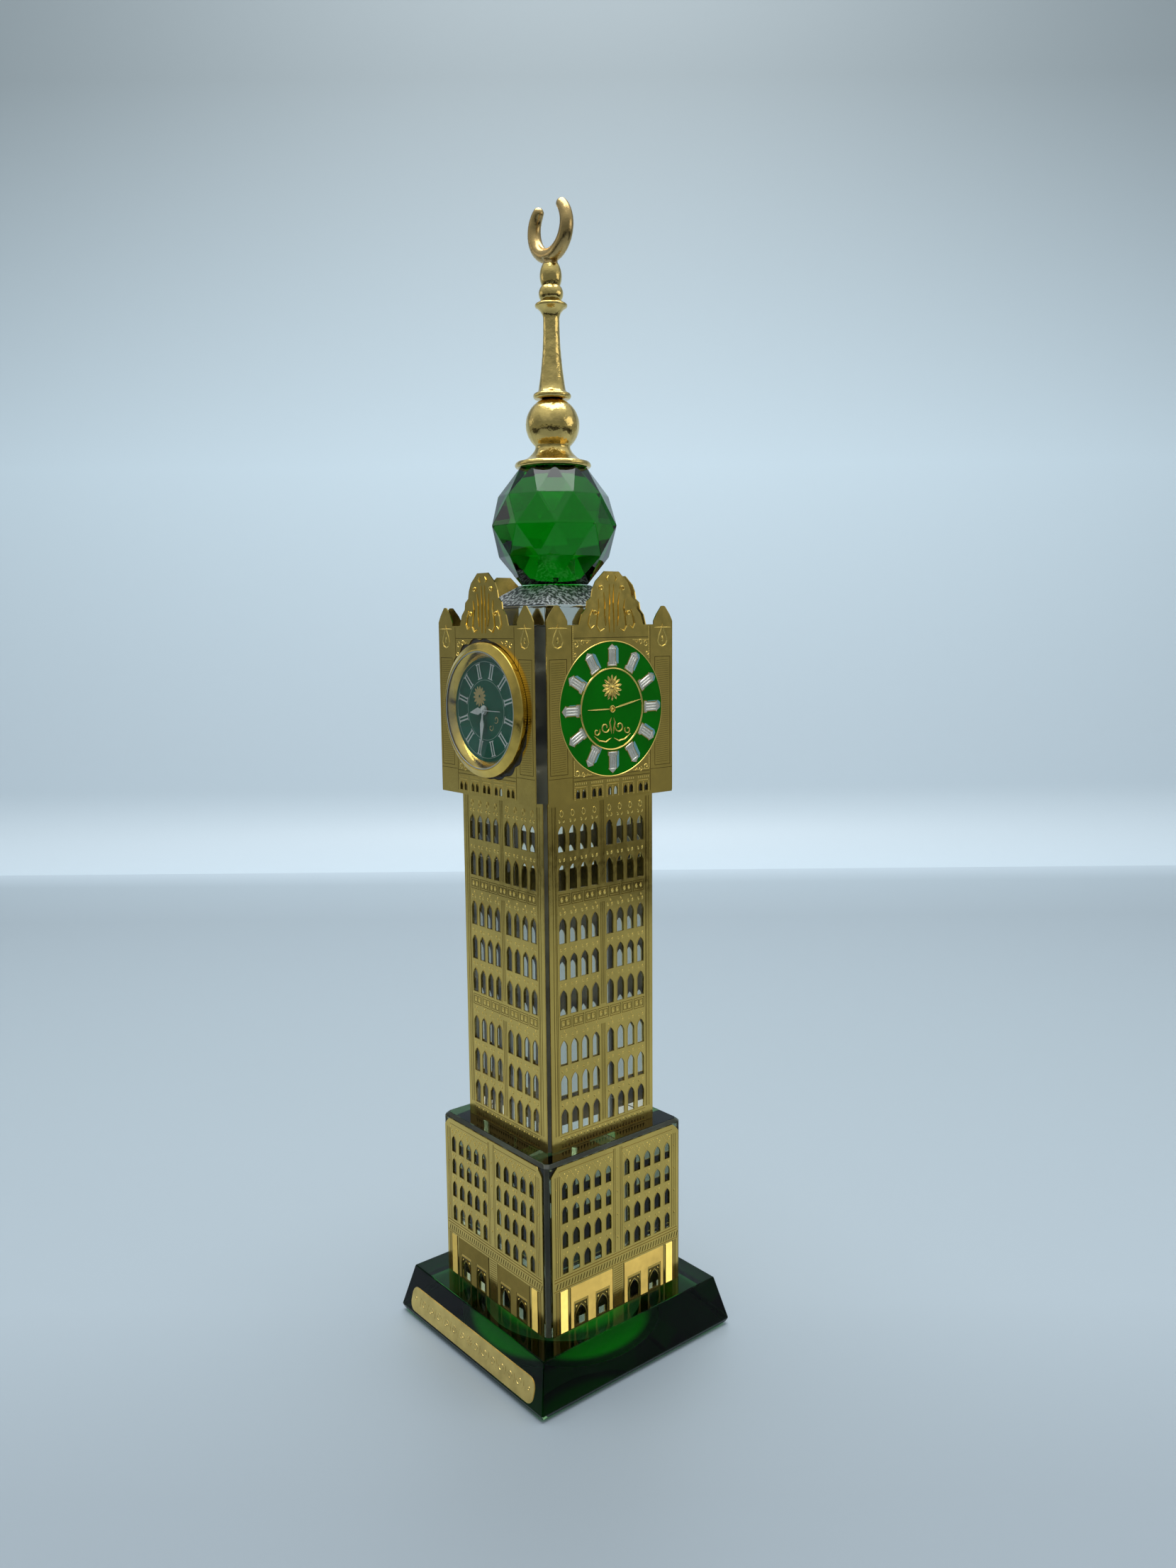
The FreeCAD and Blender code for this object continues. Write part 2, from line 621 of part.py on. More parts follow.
def grip_gasket():
    """Rubber band with ribs that grips the bore."""
    inner = CASE_RADIUS + FIT
    outer = BORE_RADIUS - FIT
    steps = [(inner, GASKET_BACK), (inner, GASKET_FRONT), (outer, GASKET_FRONT)]
    ribs = 4
    pitch = (GASKET_FRONT - GASKET_BACK) / (ribs - 0.5)
    for k in range(ribs - 1):
        top = GASKET_FRONT - k * pitch
        steps += [(outer, top - pitch / 2), (outer - 0.25, top - 0.6 * pitch),
                  (outer - 0.25, top - 0.9 * pitch), (outer, top - pitch)]
    steps.append((outer, GASKET_BACK))
    return lathe(steps)


def back_cover():
    x, y = BATTERY_CENTRE
    cover = merge(disc(CASE_RADIUS, COVER_BACK, CASE_BACK),
                  tube(CASE_INNER_RADIUS - FIT, CASE_INNER_RADIUS - 0.6, CASE_BACK, CASE_BACK + 1))
    cover = cover.cut(disc(HATCH_RADIUS + 0.08, COVER_BACK, CASE_BACK, x, y))
    return cover.cut(disc(KNOB_ARBOR + FIT, COVER_BACK, CASE_BACK, *KNOB_AT))


def battery_hatch():
    """Coin-slotted cover over the button cell."""
    x, y = BATTERY_CENTRE
    slot = Part.makeBox(5.0, 0.9, 0.4, V(x - 2.5, y - 0.45, COVER_BACK))
    return disc(HATCH_RADIUS, COVER_BACK, CASE_BACK, x, y).cut(slot)


def battery_cell():
    x, y = BATTERY_CENTRE
    back = CASE_BACK + 0.2
    can = disc(BATTERY_RADIUS, back, back + BATTERY_HEIGHT - 0.3, x, y)
    return merge(can, disc(BATTERY_RADIUS - 0.6, back, back + BATTERY_HEIGHT, x, y))


# ---------------------------------------------------------------- movement
def movement_holder():
    """Plastic ring that centres the movement in the case."""
    outer = CASE_INNER_RADIUS - FIT
    return merge(tube(outer, PLATE_RADIUS + FIT, -3.0, DIAL_BACK),
                 tube(PLATE_RADIUS + FIT, PLATE_RADIUS - 0.6, PLATE_FRONT, DIAL_BACK))


def main_plate():
    plate = disc(PLATE_RADIUS, PLATE_BACK, PLATE_FRONT)
    pillars = [disc(PILLAR_RADIUS, BRIDGE_FRONT, PLATE_BACK, *polar(PILLAR_CIRCLE, angle))
               for angle in PILLAR_ANGLES]
    plate = merge(plate, disc(POST, PLATE_FRONT, POST_FRONT, *MINUTE_AT), *pillars)
    holes = [disc(CENTRE_TUBE + FIT, PLATE_BACK, PLATE_FRONT),
             disc(KNOB_ARBOR + FIT, PLATE_BACK, PLATE_FRONT, *KNOB_AT)]
    holes += [disc(ARBOR + FIT, PLATE_BACK, PLATE_FRONT, *at) for at in PIVOTS_AT]
    holes += [disc(SCREW_RADIUS + 0.01, BRIDGE_FRONT, BRIDGE_FRONT + 1.6, *polar(PILLAR_CIRCLE, angle))
              for angle in PILLAR_ANGLES]
    return plate.cut(Part.makeCompound(holes))


def gear_bridge():
    """Back plate of the train, with one flat side that clears the coil."""
    big = 2 * BRIDGE_RADIUS
    keep = Part.makeBox(2 * big, big, 1, V(-big, BRIDGE_FLAT_Y, BRIDGE_BACK))
    bridge = disc(BRIDGE_RADIUS, BRIDGE_BACK, BRIDGE_FRONT).common(keep)
    holes = [disc(SECONDS_ARBOR + FIT, BRIDGE_BACK, BRIDGE_FRONT),
             disc(KNOB_ARBOR + FIT, BRIDGE_BACK, BRIDGE_FRONT, *KNOB_AT)]
    holes += [disc(ARBOR + FIT, BRIDGE_BACK, BRIDGE_FRONT, *at) for at in PIVOTS_AT]
    holes += [disc(SCREW_RADIUS + 0.01, BRIDGE_BACK, BRIDGE_FRONT, *polar(PILLAR_CIRCLE, angle))
              for angle in PILLAR_ANGLES]
    return bridge.cut(Part.makeCompound(holes))


def bridge_screws():
    screws = []
    for angle in PILLAR_ANGLES:
        x, y = polar(PILLAR_CIRCLE, angle)
        slot = Part.makeBox(1.4, 0.16, 0.12, V(x - 0.7, y - 0.08, BRIDGE_BACK - 0.3))
        screw = merge(disc(SCREW_RADIUS, BRIDGE_BACK, BRIDGE_FRONT + 1.4, x, y),
                      disc(0.6, BRIDGE_BACK - 0.3, BRIDGE_BACK, x, y))
        screws.append(screw.cut(slot))
    return Part.makeCompound(screws)


def circuit_board():
    board = disc(BRIDGE_RADIUS, BOARD_BACK, BRIDGE_BACK)
    holes = [disc(BATTERY_RADIUS + 0.2, BOARD_BACK, BRIDGE_BACK, *BATTERY_CENTRE),
             disc(2 * KNOB_ARBOR, BOARD_BACK, BRIDGE_BACK, *KNOB_AT)]
    holes += [disc(0.75, BOARD_BACK, BRIDGE_BACK, *polar(PILLAR_CIRCLE, angle)) for angle in PILLAR_ANGLES]
    return board.cut(Part.makeCompound(holes))


def quartz_crystal():
    """Small metal can lying on the back of the board."""
    return Part.makeCylinder(0.7, 5.0, V(2.4, 4.6, BOARD_BACK - 0.7), V(1, 0, 0))


def chip_cover():
    """Dome of resin over the chip."""
    x = 5.4
    height = 0.6
    radius = 1.6
    sphere_radius = (radius ** 2 + height ** 2) / (2 * height)
    sphere = Part.makeSphere(sphere_radius, V(x, 0, BOARD_BACK - height + sphere_radius))
    return sphere.common(disc(2 * radius, BOARD_BACK - height, BOARD_BACK, x))


STATOR_LEFT, STATOR_RIGHT = -6.9, 6.6
STATOR_BOTTOM, STATOR_TOP = -5.9, 4.8
STATOR_BACK, STATOR_FRONT = -5.9, -5.5
CORE_WIDTH = 1.2
CORE_FRONT = -5.1
COIL_RADIUS = 1.1
COIL_START, COIL_END = -3.9, 5.2


def stator():
    """Soft-iron frame round the train; the rotor turns in its thick leg."""
    plate = prism([(STATOR_LEFT, STATOR_BOTTOM), (-4.1, STATOR_BOTTOM), (-4.1, 3.8), (5.4, 3.8),
                   (5.4, STATOR_BOTTOM), (STATOR_RIGHT, STATOR_BOTTOM), (STATOR_RIGHT, STATOR_TOP),
                   (STATOR_LEFT, STATOR_TOP)], STATOR_BACK, STATOR_FRONT)
    return plate.cut(disc(1.1, STATOR_BACK, STATOR_FRONT, *ROTOR_AT))


def coil_core():
    return Part.makeBox(STATOR_RIGHT - STATOR_LEFT, CORE_WIDTH, CORE_FRONT - STATOR_FRONT,
                        V(STATOR_LEFT, STATOR_BOTTOM, STATOR_FRONT))


def drive_coil():
    axis_y = STATOR_BOTTOM + CORE_WIDTH / 2
    axis_z = (STATOR_FRONT + CORE_FRONT) / 2
    winding = Part.makeCylinder(COIL_RADIUS, COIL_END - COIL_START, V(COIL_START, axis_y, axis_z), V(1, 0, 0))
    return winding.cut(coil_core())


# ---------------------------------------------------------------- hands
def hand(outline, hub, bore, z0, z1, clockwise_deg):
    """Flat hand drawn pointing up, then turned clockwise as seen from the front."""
    blade = merge(prism(outline, z0, z1), disc(hub, z0, z1))
    blade = blade.cut(disc(bore, z0, z1))
    blade.rotate(V(0, 0, 0), UP, -clockwise_deg)
    return blade


def hour_hand():
    leaf = [(-0.3, 0), (0.3, 0), (0.35, 1.2), (0.95, 2.6), (0.5, 4.4), (0, 6.1), (-0.5, 4.4), (-0.95, 2.6),
            (-0.35, 1.2)]
    return hand(leaf, 1.25, HOUR_PIPE, 0.25, 0.42, HOUR_HAND_DEG)


def minute_hand():
    dagger = [(-0.25, 0), (0.25, 0), (0.3, 2.0), (0.8, 3.6), (0.35, 7.0), (0.15, 8.0), (0.1, 11.1),
              (-0.1, 11.1), (-0.15, 8.0), (-0.35, 7.0), (-0.8, 3.6), (-0.3, 2.0)]
    return hand(dagger, 1.0, CENTRE_TUBE, 0.6, 0.78, MINUTE_HAND_DEG)


def second_hand():
    needle = [(-0.35, -2.6), (0.35, -2.6), (0.12, 0), (0.08, 7.9), (-0.08, 7.9), (-0.12, 0)]
    return hand(needle, 0.55, SECONDS_ARBOR, 0.98, 1.1, SECOND_HAND_DEG)


def seated(shape):
    """Puts an insert piece in the tower, at the turn it is left at in its bore."""
    shape.rotate(V(0, 0, 0), UP, CLOCK_TURN_DEG)
    shape.rotate(V(0, 0, 0), V(1, 0, 0), 90)
    shape.translate(V(CLOCK_X, -HEAD_HALF - CLOCK_SEAT, CLOCK_Z))
    return shape


# ---------------------------------------------------------------- assembly
TOWER = (base_pad, base_block, name_plate, podium_block, shaft_block, head_block, neck_block, crystal_ball,
         finial_base, finial_spire, crescent)
INSERT = (bezel, lens, reflector_ring, dial_disc, case_ring, grip_gasket, back_cover, battery_hatch,
          battery_cell, movement_holder, main_plate, gear_bridge, bridge_screws, circuit_board,
          quartz_crystal, chip_cover, stator, coil_core, drive_coil, rotor, intermediate_wheel,
          seconds_wheel, third_wheel, centre_wheel, minute_wheel, hour_wheel, setting_knob,
          hour_hand, minute_hand, second_hand)


def assembly():
    """Every piece by name, in place."""
    pieces = {make.__name__: make() for make in TOWER}
    sheets = {"podium_panel": podium_sheet(), "shaft_panel": shaft_sheet()}
    for quarter, side in enumerate(SIDES):
        for name, flat in sheets.items():
            pieces[f"{name}_{side}"] = turned(flat, quarter)
        pieces[f"head_panel_{side}"] = turned(head_sheet(side == "front"), quarter)
        if side != "front":
            pieces[f"dial_enamel_{side}"] = turned(dial_enamel(), quarter)
    for make in INSERT:
        pieces[make.__name__] = seated(make())
    return pieces


os.makedirs("parts", exist_ok=True)
for node, shape in assembly().items():
    shape.exportStep(f"parts/{node}.step")
    print(node, "valid" if shape.isValid() else "INVALID", len(shape.Solids), round(shape.Volume, 3))
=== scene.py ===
import math
import random

import bpy
from mathutils import Matrix, Vector
from mathutils.geometry import delaunay_2d_cdt


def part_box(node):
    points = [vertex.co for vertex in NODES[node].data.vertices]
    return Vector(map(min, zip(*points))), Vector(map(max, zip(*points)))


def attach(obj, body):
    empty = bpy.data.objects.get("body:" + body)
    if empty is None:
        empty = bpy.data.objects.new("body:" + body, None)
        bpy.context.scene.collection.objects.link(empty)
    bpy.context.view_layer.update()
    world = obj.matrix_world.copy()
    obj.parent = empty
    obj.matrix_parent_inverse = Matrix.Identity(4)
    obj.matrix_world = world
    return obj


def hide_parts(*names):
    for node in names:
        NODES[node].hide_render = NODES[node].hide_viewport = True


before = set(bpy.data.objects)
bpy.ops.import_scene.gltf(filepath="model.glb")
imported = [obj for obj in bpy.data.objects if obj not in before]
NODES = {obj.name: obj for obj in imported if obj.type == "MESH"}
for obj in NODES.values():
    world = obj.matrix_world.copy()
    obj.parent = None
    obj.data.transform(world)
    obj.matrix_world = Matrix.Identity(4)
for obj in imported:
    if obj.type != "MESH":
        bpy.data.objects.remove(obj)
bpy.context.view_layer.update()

MM = 0.001
SIDES = ("front", "right", "back", "left")


# ---------- sizes read from the frame, in mm
def low(node, axis):
    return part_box(node)[0][axis] / MM


def high(node, axis):
    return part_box(node)[1][axis] / MM


BASE_TOP = high("base_block", 2)
BASE_WIDEST = high("base_block", 0)
BASE_FOOT_Z = low("base_block", 2)
PODIUM_HALF = high("podium_block", 0)
PODIUM_TOP = high("podium_block", 2)
SHAFT_HALF = high("shaft_block", 0)
SHAFT_TOP = high("shaft_block", 2)
HEAD_HALF = high("head_block", 0)
HEAD_TOP = high("head_block", 2)
NECK_HALF = high("neck_block", 0)
NECK_TOP = high("neck_block", 2)
BALL_TOP = high("crystal_ball", 2)
SHEET = high("head_panel_right", 0) - HEAD_HALF
PODIUM_SHEET_TOP = high("podium_panel_front", 2)
PODIUM_SHEET_HALF = high("podium_panel_front", 0)
SHAFT_SHEET_HALF = high("shaft_panel_front", 0)
SHAFT_SHEET_TOP = high("shaft_panel_front", 2)
HEAD_SHEET_HALF = high("head_panel_front", 0)
HEAD_SHEET_FOOT = low("head_panel_front", 2)
CLOCK_X = (low("bezel", 0) + high("bezel", 0)) / 2
CLOCK_Z = (low("bezel", 2) + high("bezel", 2)) / 2
CLOCK_SEAT = 0.65
DIAL_Z = (low("dial_enamel_back", 2) + high("dial_enamel_back", 2)) / 2
ENAMEL_RADIUS = high("dial_enamel_back", 0)
BEZEL_RADIUS = (high("bezel", 0) - low("bezel", 0)) / 2

BASE_TOP_HALF = 30.6
BASE_FOOT_HALF = 33.0
BASE_WIDEST_Z = 1.8
PODIUM_CORNER = 1.0
PODIUM_BEVEL = 0.9
SHAFT_CORNER = 1.05
HEAD_CORNER = 2.2
CLOCK_TURN = math.radians(45)
BORE_RADIUS = 17.0
BORE_DEPTH = 12.4


# ---------- node materials
def scaled(color, share):
    return tuple(share * c for c in color)


def ramp(tree, fac, stops):
    """Colour ramp through (position, colour) stops; a number stands for a grey."""
    node = tree.nodes.new("ShaderNodeValToRGB")
    elements = node.color_ramp.elements
    while len(elements) < len(stops):
        elements.new(0.5)
    for element, (position, value) in zip(elements, stops):
        element.position = position
        element.color = (*value, 1) if isinstance(value, tuple) else (value, value, value, 1)
    tree.links.new(fac, node.inputs["Fac"])
    return node.outputs["Color"]


class Surface:
    """Principled material whose sockets vary with noise in object coordinates."""

    def __init__(self, name, color, **values):
        self.material = bpy.data.materials.new(name)
        self.material.use_nodes = True
        self.tree = self.material.node_tree
        self.shader = self.tree.nodes["Principled BSDF"]
        self.shader.inputs["Base Color"].default_value = (*color, 1)
        for socket, value in {"Roughness": 0.4, **values}.items():
            self.shader.inputs[socket.replace("_", " ")].default_value = value
        self.coords = self.node("TexCoord").outputs["Object"]

    def node(self, kind, **values):
        """New shader node with its input values set."""
        node = self.tree.nodes.new("ShaderNode" + kind)
        for socket, value in values.items():
            node.inputs[socket.replace("_", " ")].default_value = value
        return node

    def link(self, output, node, socket):
        self.tree.links.new(output, node.inputs[socket])

    def noise(self, per_mm, detail):
        """Noise with features of about 1/per_mm millimetres."""
        mapping = self.node("Mapping", Scale=[per_mm / MM] * 3)
        self.link(self.coords, mapping, "Vector")
        cloud = self.node("TexNoise", Scale=1.0, Detail=detail)
        self.link(mapping.outputs["Vector"], cloud, "Vector")
        return cloud.outputs["Fac"]

    def vary(self, socket, fac, *stops):
        """Drives a socket of the shader by a ramp over fac."""
        self.link(ramp(self.tree, fac, stops), self.shader, socket)

    def bump(self, height, distance_mm):
        node = self.node("Bump", Distance=distance_mm * MM)
        self.link(height, node, "Height")
        previous = self.shader.inputs["Normal"].links
        if previous:
            self.link(previous[0].from_socket, node, "Normal")
        self.link(node.outputs["Normal"], self.shader, "Normal")


def gilt_sheet(name, bright=1.0):
    """Satin gilt brass sheet: cloudy tone, soft rolling waves and tiny pits."""
    tone = scaled((0.68, 0.485, 0.125), bright)
    surface = Surface(name, tone, Metallic=1.0)
    surface.vary("Base Color", surface.noise(0.09, 4), (0.3, scaled(tone, 0.84)), (0.7, tone))
    surface.vary("Roughness", surface.noise(0.5, 5), (0.3, 0.13), (0.75, 0.24))
    surface.bump(surface.noise(3.0, 2), 0.004)
    surface.bump(surface.noise(0.04, 1), 0.2)
    return surface.material


def relief_silver():
    surface = Surface("relief_silver", (0.8, 0.77, 0.68), Metallic=1.0)
    surface.vary("Roughness", surface.noise(0.8, 4), (0.3, 0.22), (0.7, 0.42))
    surface.bump(surface.noise(3, 2), 0.01)
    return surface.material


def gold_plate(name="gold_plate", dull=0.0, lumps=0.0, tone=(0.86, 0.62, 0.2)):
    """Polished gold plate, with cloudy roughness and, on castings, soft lumps."""
    tone = tuple(c - loss * dull for c, loss in zip(tone, (0.3, 0.25, 0.04)))
    surface = Surface(name, tone, Metallic=1.0)
    surface.vary("Base Color", surface.noise(0.3, 5), (0.35, scaled(tone, 0.78)), (0.65, tone))
    smoothest = 0.1 + 0.12 * dull
    surface.vary("Roughness", surface.noise(0.9, 5), (0.35, smoothest), (0.7, smoothest + 0.13))
    surface.bump(surface.noise(1.6, 3), 0.012)
    if lumps:
        surface.bump(surface.noise(0.45, 3), lumps)
    return surface.material


def glass(name, color, shadow, roughness=0.0, ior=1.52, absorb=None, density=0, shine=1.0):
    """Cut glass that lets lamps through, with faint waviness and dust in its polish."""
    surface = Surface(name, color, Roughness=roughness, Transmission_Weight=1.0, IOR=ior,
                      Specular_Tint=(shine, shine, shine, 1))
    surface.vary("Roughness", surface.noise(0.35, 4), (0.45, roughness), (0.8, roughness + 0.035))
    surface.bump(surface.noise(0.05, 2), 0.05)
    target = surface.tree.nodes["Material Output"]
    mix = surface.node("MixShader")
    surface.link(surface.node("LightPath").outputs["Is Shadow Ray"], mix, "Fac")
    surface.link(surface.shader.outputs["BSDF"], mix, 1)
    surface.link(surface.node("BsdfTransparent", Color=(*shadow, 1)).outputs["BSDF"], mix, 2)
    surface.link(mix.outputs["Shader"], target, "Surface")
    if absorb:
        depth = surface.node("VolumeAbsorption", Color=(*absorb, 1), Density=density)
        surface.link(depth.outputs["Volume"], target, "Volume")
    return surface.material


def enamel(name, deep, bright):
    """Glossy enamel with slight pooling."""
    surface = Surface(name, bright, Roughness=0.25, Specular_IOR_Level=0.12)
    surface.vary("Base Color", surface.noise(0.12, 4), (0.3, deep), (0.7, bright))
    surface.bump(surface.noise(0.5, 3), 0.02)
    return surface.material


def plain(name, color, roughness, grain_per_mm=2.0, depth=0.01, metallic=0.0, spread=0.8):
    """Fine-grained plastic, rubber or metal with a little tone variation."""
    surface = Surface(name, color, Metallic=metallic)
    surface.vary("Base Color", surface.noise(0.4, 4), (0.3, scaled(color, spread)), (0.7, color))
    surface.vary("Roughness", surface.noise(0.7, 3), (0.3, 0.85 * roughness), (0.7, min(1, 1.15 * roughness)))
    surface.bump(surface.noise(grain_per_mm, 2), depth)
    return surface.material


def crackle():
    """Dried clear adhesive: a silvery mottled film."""
    surface = Surface("crackle_film", (0.5, 0.5, 0.48), Roughness=0.6)
    spots = surface.noise(1.2, 3)
    surface.vary("Base Color", spots, (0.42, 0.01), (0.5, 0.09), (0.57, 0.5))
    surface.bump(spots, 0.25)
    return surface.material


def pale_pad_painted_glow():
    """Pale foam with a painted green glow: emission that stands in for light the glass gathers on it, the
    same all round.
    """
    reach_mm = 20
    surface = Surface("pale_pad_painted_glow", (0.8, 0.82, 0.76), Roughness=0.85, Emission_Strength=0.3)
    surface.vary("Base Color", surface.noise(0.4, 4), (0.3, (0.72, 0.74, 0.68)), (0.7, (0.8, 0.82, 0.76)))
    away = surface.node("VectorMath")
    away.operation = "DISTANCE"
    surface.link(surface.coords, away, 0)
    share = surface.node("Math")
    share.operation = "MULTIPLY"
    share.inputs[1].default_value = 1 / (reach_mm * MM)
    surface.link(away.outputs["Value"], share, 0)
    # painted glow: full green out to 17 mm from the pad's centre, gone by 20 mm
    surface.vary("Emission Color", share.outputs["Value"], (0.85, (0.05, 1.0, 0.05)), (1.0, 0.0))
    surface.bump(surface.noise(1.2, 2), 0.06)
    return surface.material


def wound_copper():
    surface = Surface("wound_copper", (0.55, 0.2, 0.08), Metallic=0.9, Roughness=0.3)
    surface.vary("Base Color", surface.noise(0.5, 3), (0.3, (0.45, 0.15, 0.05)), (0.7, (0.66, 0.27, 0.1)))
    wave = surface.node("TexWave", Scale=2.0 / MM)
    wave.bands_direction = "DIAGONAL"
    surface.link(surface.coords, wave, "Vector")
    surface.bump(wave.outputs["Fac"], 0.04)
    return surface.material


MATERIALS = {
    "brass": gilt_sheet("etched_brass"),
    "etch": gilt_sheet("brass_recess", 0.26),
    # brighter copy of the sheet brass for raised lines, bosses and pilaster ridges: painted highlight
    "raised": gilt_sheet("raised_brass_painted_highlight", 1.42),
    # darker copy of the sheet brass for the hatched walls: painted shade
    "hatched": gilt_sheet("hatched_brass_painted_shade", 0.72),
    "silver": relief_silver(),
    "gold": gold_plate(),
    "bezel_gold": gold_plate("bezel_gold", tone=(0.8, 0.55, 0.12)),
    "rim": plain("polished_rim", (0.5, 0.52, 0.46), 0.25),
    "chip": plain("chipped_green", (0.45, 0.85, 0.35), 0.5),
    "cast_gold": gold_plate("cast_gold", 0.05, 0.22),
    "bronze": gold_plate("bronze_gold", 0.75, 0.12),
    "foil": gold_plate("gold_foil", 0.08, 0.05),
    "clear": glass("clear_glass", (0.5, 0.52, 0.45), (0.7, 0.72, 0.66)),
    "ground": glass("ground_glass", (0.5, 0.45, 0.3), (0.6, 0.62, 0.56), 0.4, shine=0.6),
    "neck": glass("neck_glass", (0.5, 0.52, 0.47), (0.6, 0.62, 0.56), 0.05),
    "base": glass("base_glass", (0.1, 0.5, 0.1), (0.02, 0.1, 0.02), ior=1.38, absorb=(0.0, 0.84, 0.03),
                  density=340, shine=0.1),
    "ball": glass("ball_glass", (0.01, 0.33, 0.03), (0.1, 0.16, 0.1), absorb=(0.0, 0.8, 0.1),
                  density=85, shine=0.7),
    # clear glass tinted darker for the podium: painted shade that dims what shows through its windows and
    # doors
    "podium": glass("podium_glass", (0.2, 0.24, 0.16), (0.5, 0.55, 0.45), shine=0.35),
    # dark green tint on the clear podium's top face: painted shade
    "ledge": glass("ledge_glass_painted_shade", (0.04, 0.1, 0.04), (0.5, 0.55, 0.45), 0.03, ior=1.2, shine=0.1),
    # darker tint on the base's top face than on its slopes: painted shade
    "base_top": glass("base_top_glass_painted_shade", (0.01, 0.06, 0.015), (0.02, 0.1, 0.02), ior=1.28, shine=0.1),
    # opaque dark finish in place of glass on the base's foot band: painted shade
    "edge": plain("base_foot_painted_shade", (0.0, 0.016, 0.005), 0.3),
    "lens": glass("lens_glass", (0.98, 0.99, 0.98), (0.97, 0.98, 0.97), ior=1.3),
    "crackle": crackle(),
    "enamel": enamel("green_enamel", (0.0, 0.15, 0.0), (0.0, 0.19, 0.001)),
    "print_blue": plain("pale_blue_print", (0.2, 0.45, 0.5), 0.5),
    "dial": enamel("dial_green", (0.0, 0.075, 0.04), (0.002, 0.11, 0.06)),
    "dial_line": plain("dial_line", (0.28, 0.4, 0.33), 0.5),
    "hand": plain("satin_silver", (0.8, 0.82, 0.8), 0.45, metallic=0.9),
    "steel": plain("steel", (0.5, 0.5, 0.5), 0.3, metallic=1.0),
    "train_brass": plain("train_brass", (0.7, 0.53, 0.24), 0.3, metallic=1.0),
    "copper": wound_copper(),
    "rubber": plain("black_rubber", (0.02, 0.02, 0.02), 0.7, 1.5, 0.03),
    "residue": plain("dark_residue", (0.035, 0.028, 0.015), 0.5, 0.9, 0.15, spread=0.4),
    "pad": pale_pad_painted_glow(),
    "black": plain("black_plastic", (0.03, 0.03, 0.032), 0.45),
    "white": plain("white_plastic", (0.78, 0.78, 0.74), 0.4),
    "board": plain("board_green", (0.02, 0.16, 0.06), 0.35),
}


# ---------- mesh helpers (mm in, metres out)
def make_object(name, verts, faces, materials, face_materials=None, smooth=False):
    mesh = bpy.data.meshes.new(name)
    mesh.from_pydata([tuple(c * MM for c in v) for v in verts], [], faces)
    for key in materials:
        mesh.materials.append(MATERIALS[key])
    if face_materials:
        mesh.polygons.foreach_set("material_index", face_materials)
    mesh.polygons.foreach_set("use_smooth", [smooth] * len(mesh.polygons))
    mesh.validate()
    obj = bpy.data.objects.new(name, mesh)
    bpy.context.scene.collection.objects.link(obj)
    return obj


def finish_piece(obj, body, slot, *nodes):
    """Rides on a body and stands for CAD nodes, which it hides; slot is not used."""
    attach(obj, body)
    if nodes:
        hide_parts(*nodes)


def bevel(obj, width_mm, segments, degrees):
    mod = obj.modifiers.new("bevel", "BEVEL")
    mod.width = width_mm * MM
    mod.segments = segments
    mod.limit_method = "ANGLE"
    mod.angle_limit = math.radians(degrees)
    mod.harden_normals = False


def split_edges(obj, degrees):
    """Keeps edges sharper than an angle crisp on a smooth piece."""
    obj.modifiers.new("edges", "EDGE_SPLIT").split_angle = math.radians(degrees)


def quarter(point, turns):
    """Turns a front-face point round the tower by quarter turns."""
    x, y, z = point
    for _ in range(turns):
        x, y = -y, x
    return (x, y, z)


def on_face(plane, turns):
    """Maps (u, z, lift) on a front sheet to the tower's frame."""
    return lambda u, z, lift: quarter((u, -plane - lift, z), turns)


def on_clock(x, y, w):
    """Maps a point of the clock insert, w out of the glass face, to the tower's frame."""
    c, s = math.cos(CLOCK_TURN), math.sin(CLOCK_TURN)
    return (CLOCK_X + x * c - y * s, -HEAD_HALF - CLOCK_SEAT - w, CLOCK_Z + x * s + y * c)


class Part:
    """Collects faces with materials for one object; place(u, z, lift) sets its relief on face."""

    # relief lines and bosses take the brighter raised brass by default, a painted highlight
    def __init__(self, place=None, face=0.0, line="raised"):
        self.verts, self.faces, self.slots, self.keys = [], [], [], []
        self.place, self.face, self.line = place, face, line

    def add(self, verts, faces, key):
        start = len(self.verts)
        if key not in self.keys:
            self.keys.append(key)
        self.verts += verts
        self.faces += [[start + i for i in face] for face in faces]
        self.slots += [self.keys.index(key)] * len(faces)

    def build(self, name, body, slot, *nodes, smooth=False):
        obj = make_object(name, self.verts, self.faces, self.keys, self.slots, smooth)
        finish_piece(obj, body, slot, *nodes)
        return obj


def bands(rows, around, closed_rows=False):
    """Quads between rows of points that close round."""
    faces = []
    for row in range(rows if closed_rows else rows - 1):
        a, b = row * around, (row + 1) % rows * around
        faces += [[a + k, b + k, b + (k + 1) % around, a + (k + 1) % around] for k in range(around)]
    return faces


def lathe_faces(profile, segments, closed=True):
    """Vertices and faces of a profile of (r, z) points revolved about Z; closed joins its ends."""
    count = len(profile)
    verts = [(r * math.cos(a), r * math.sin(a), z) for a in circle_angles(segments) for r, z in profile]
    faces = bands(segments, count, True)
    if not closed:
        faces = [face for k, face in enumerate(faces) if (k + 1) % count]
    return verts, faces


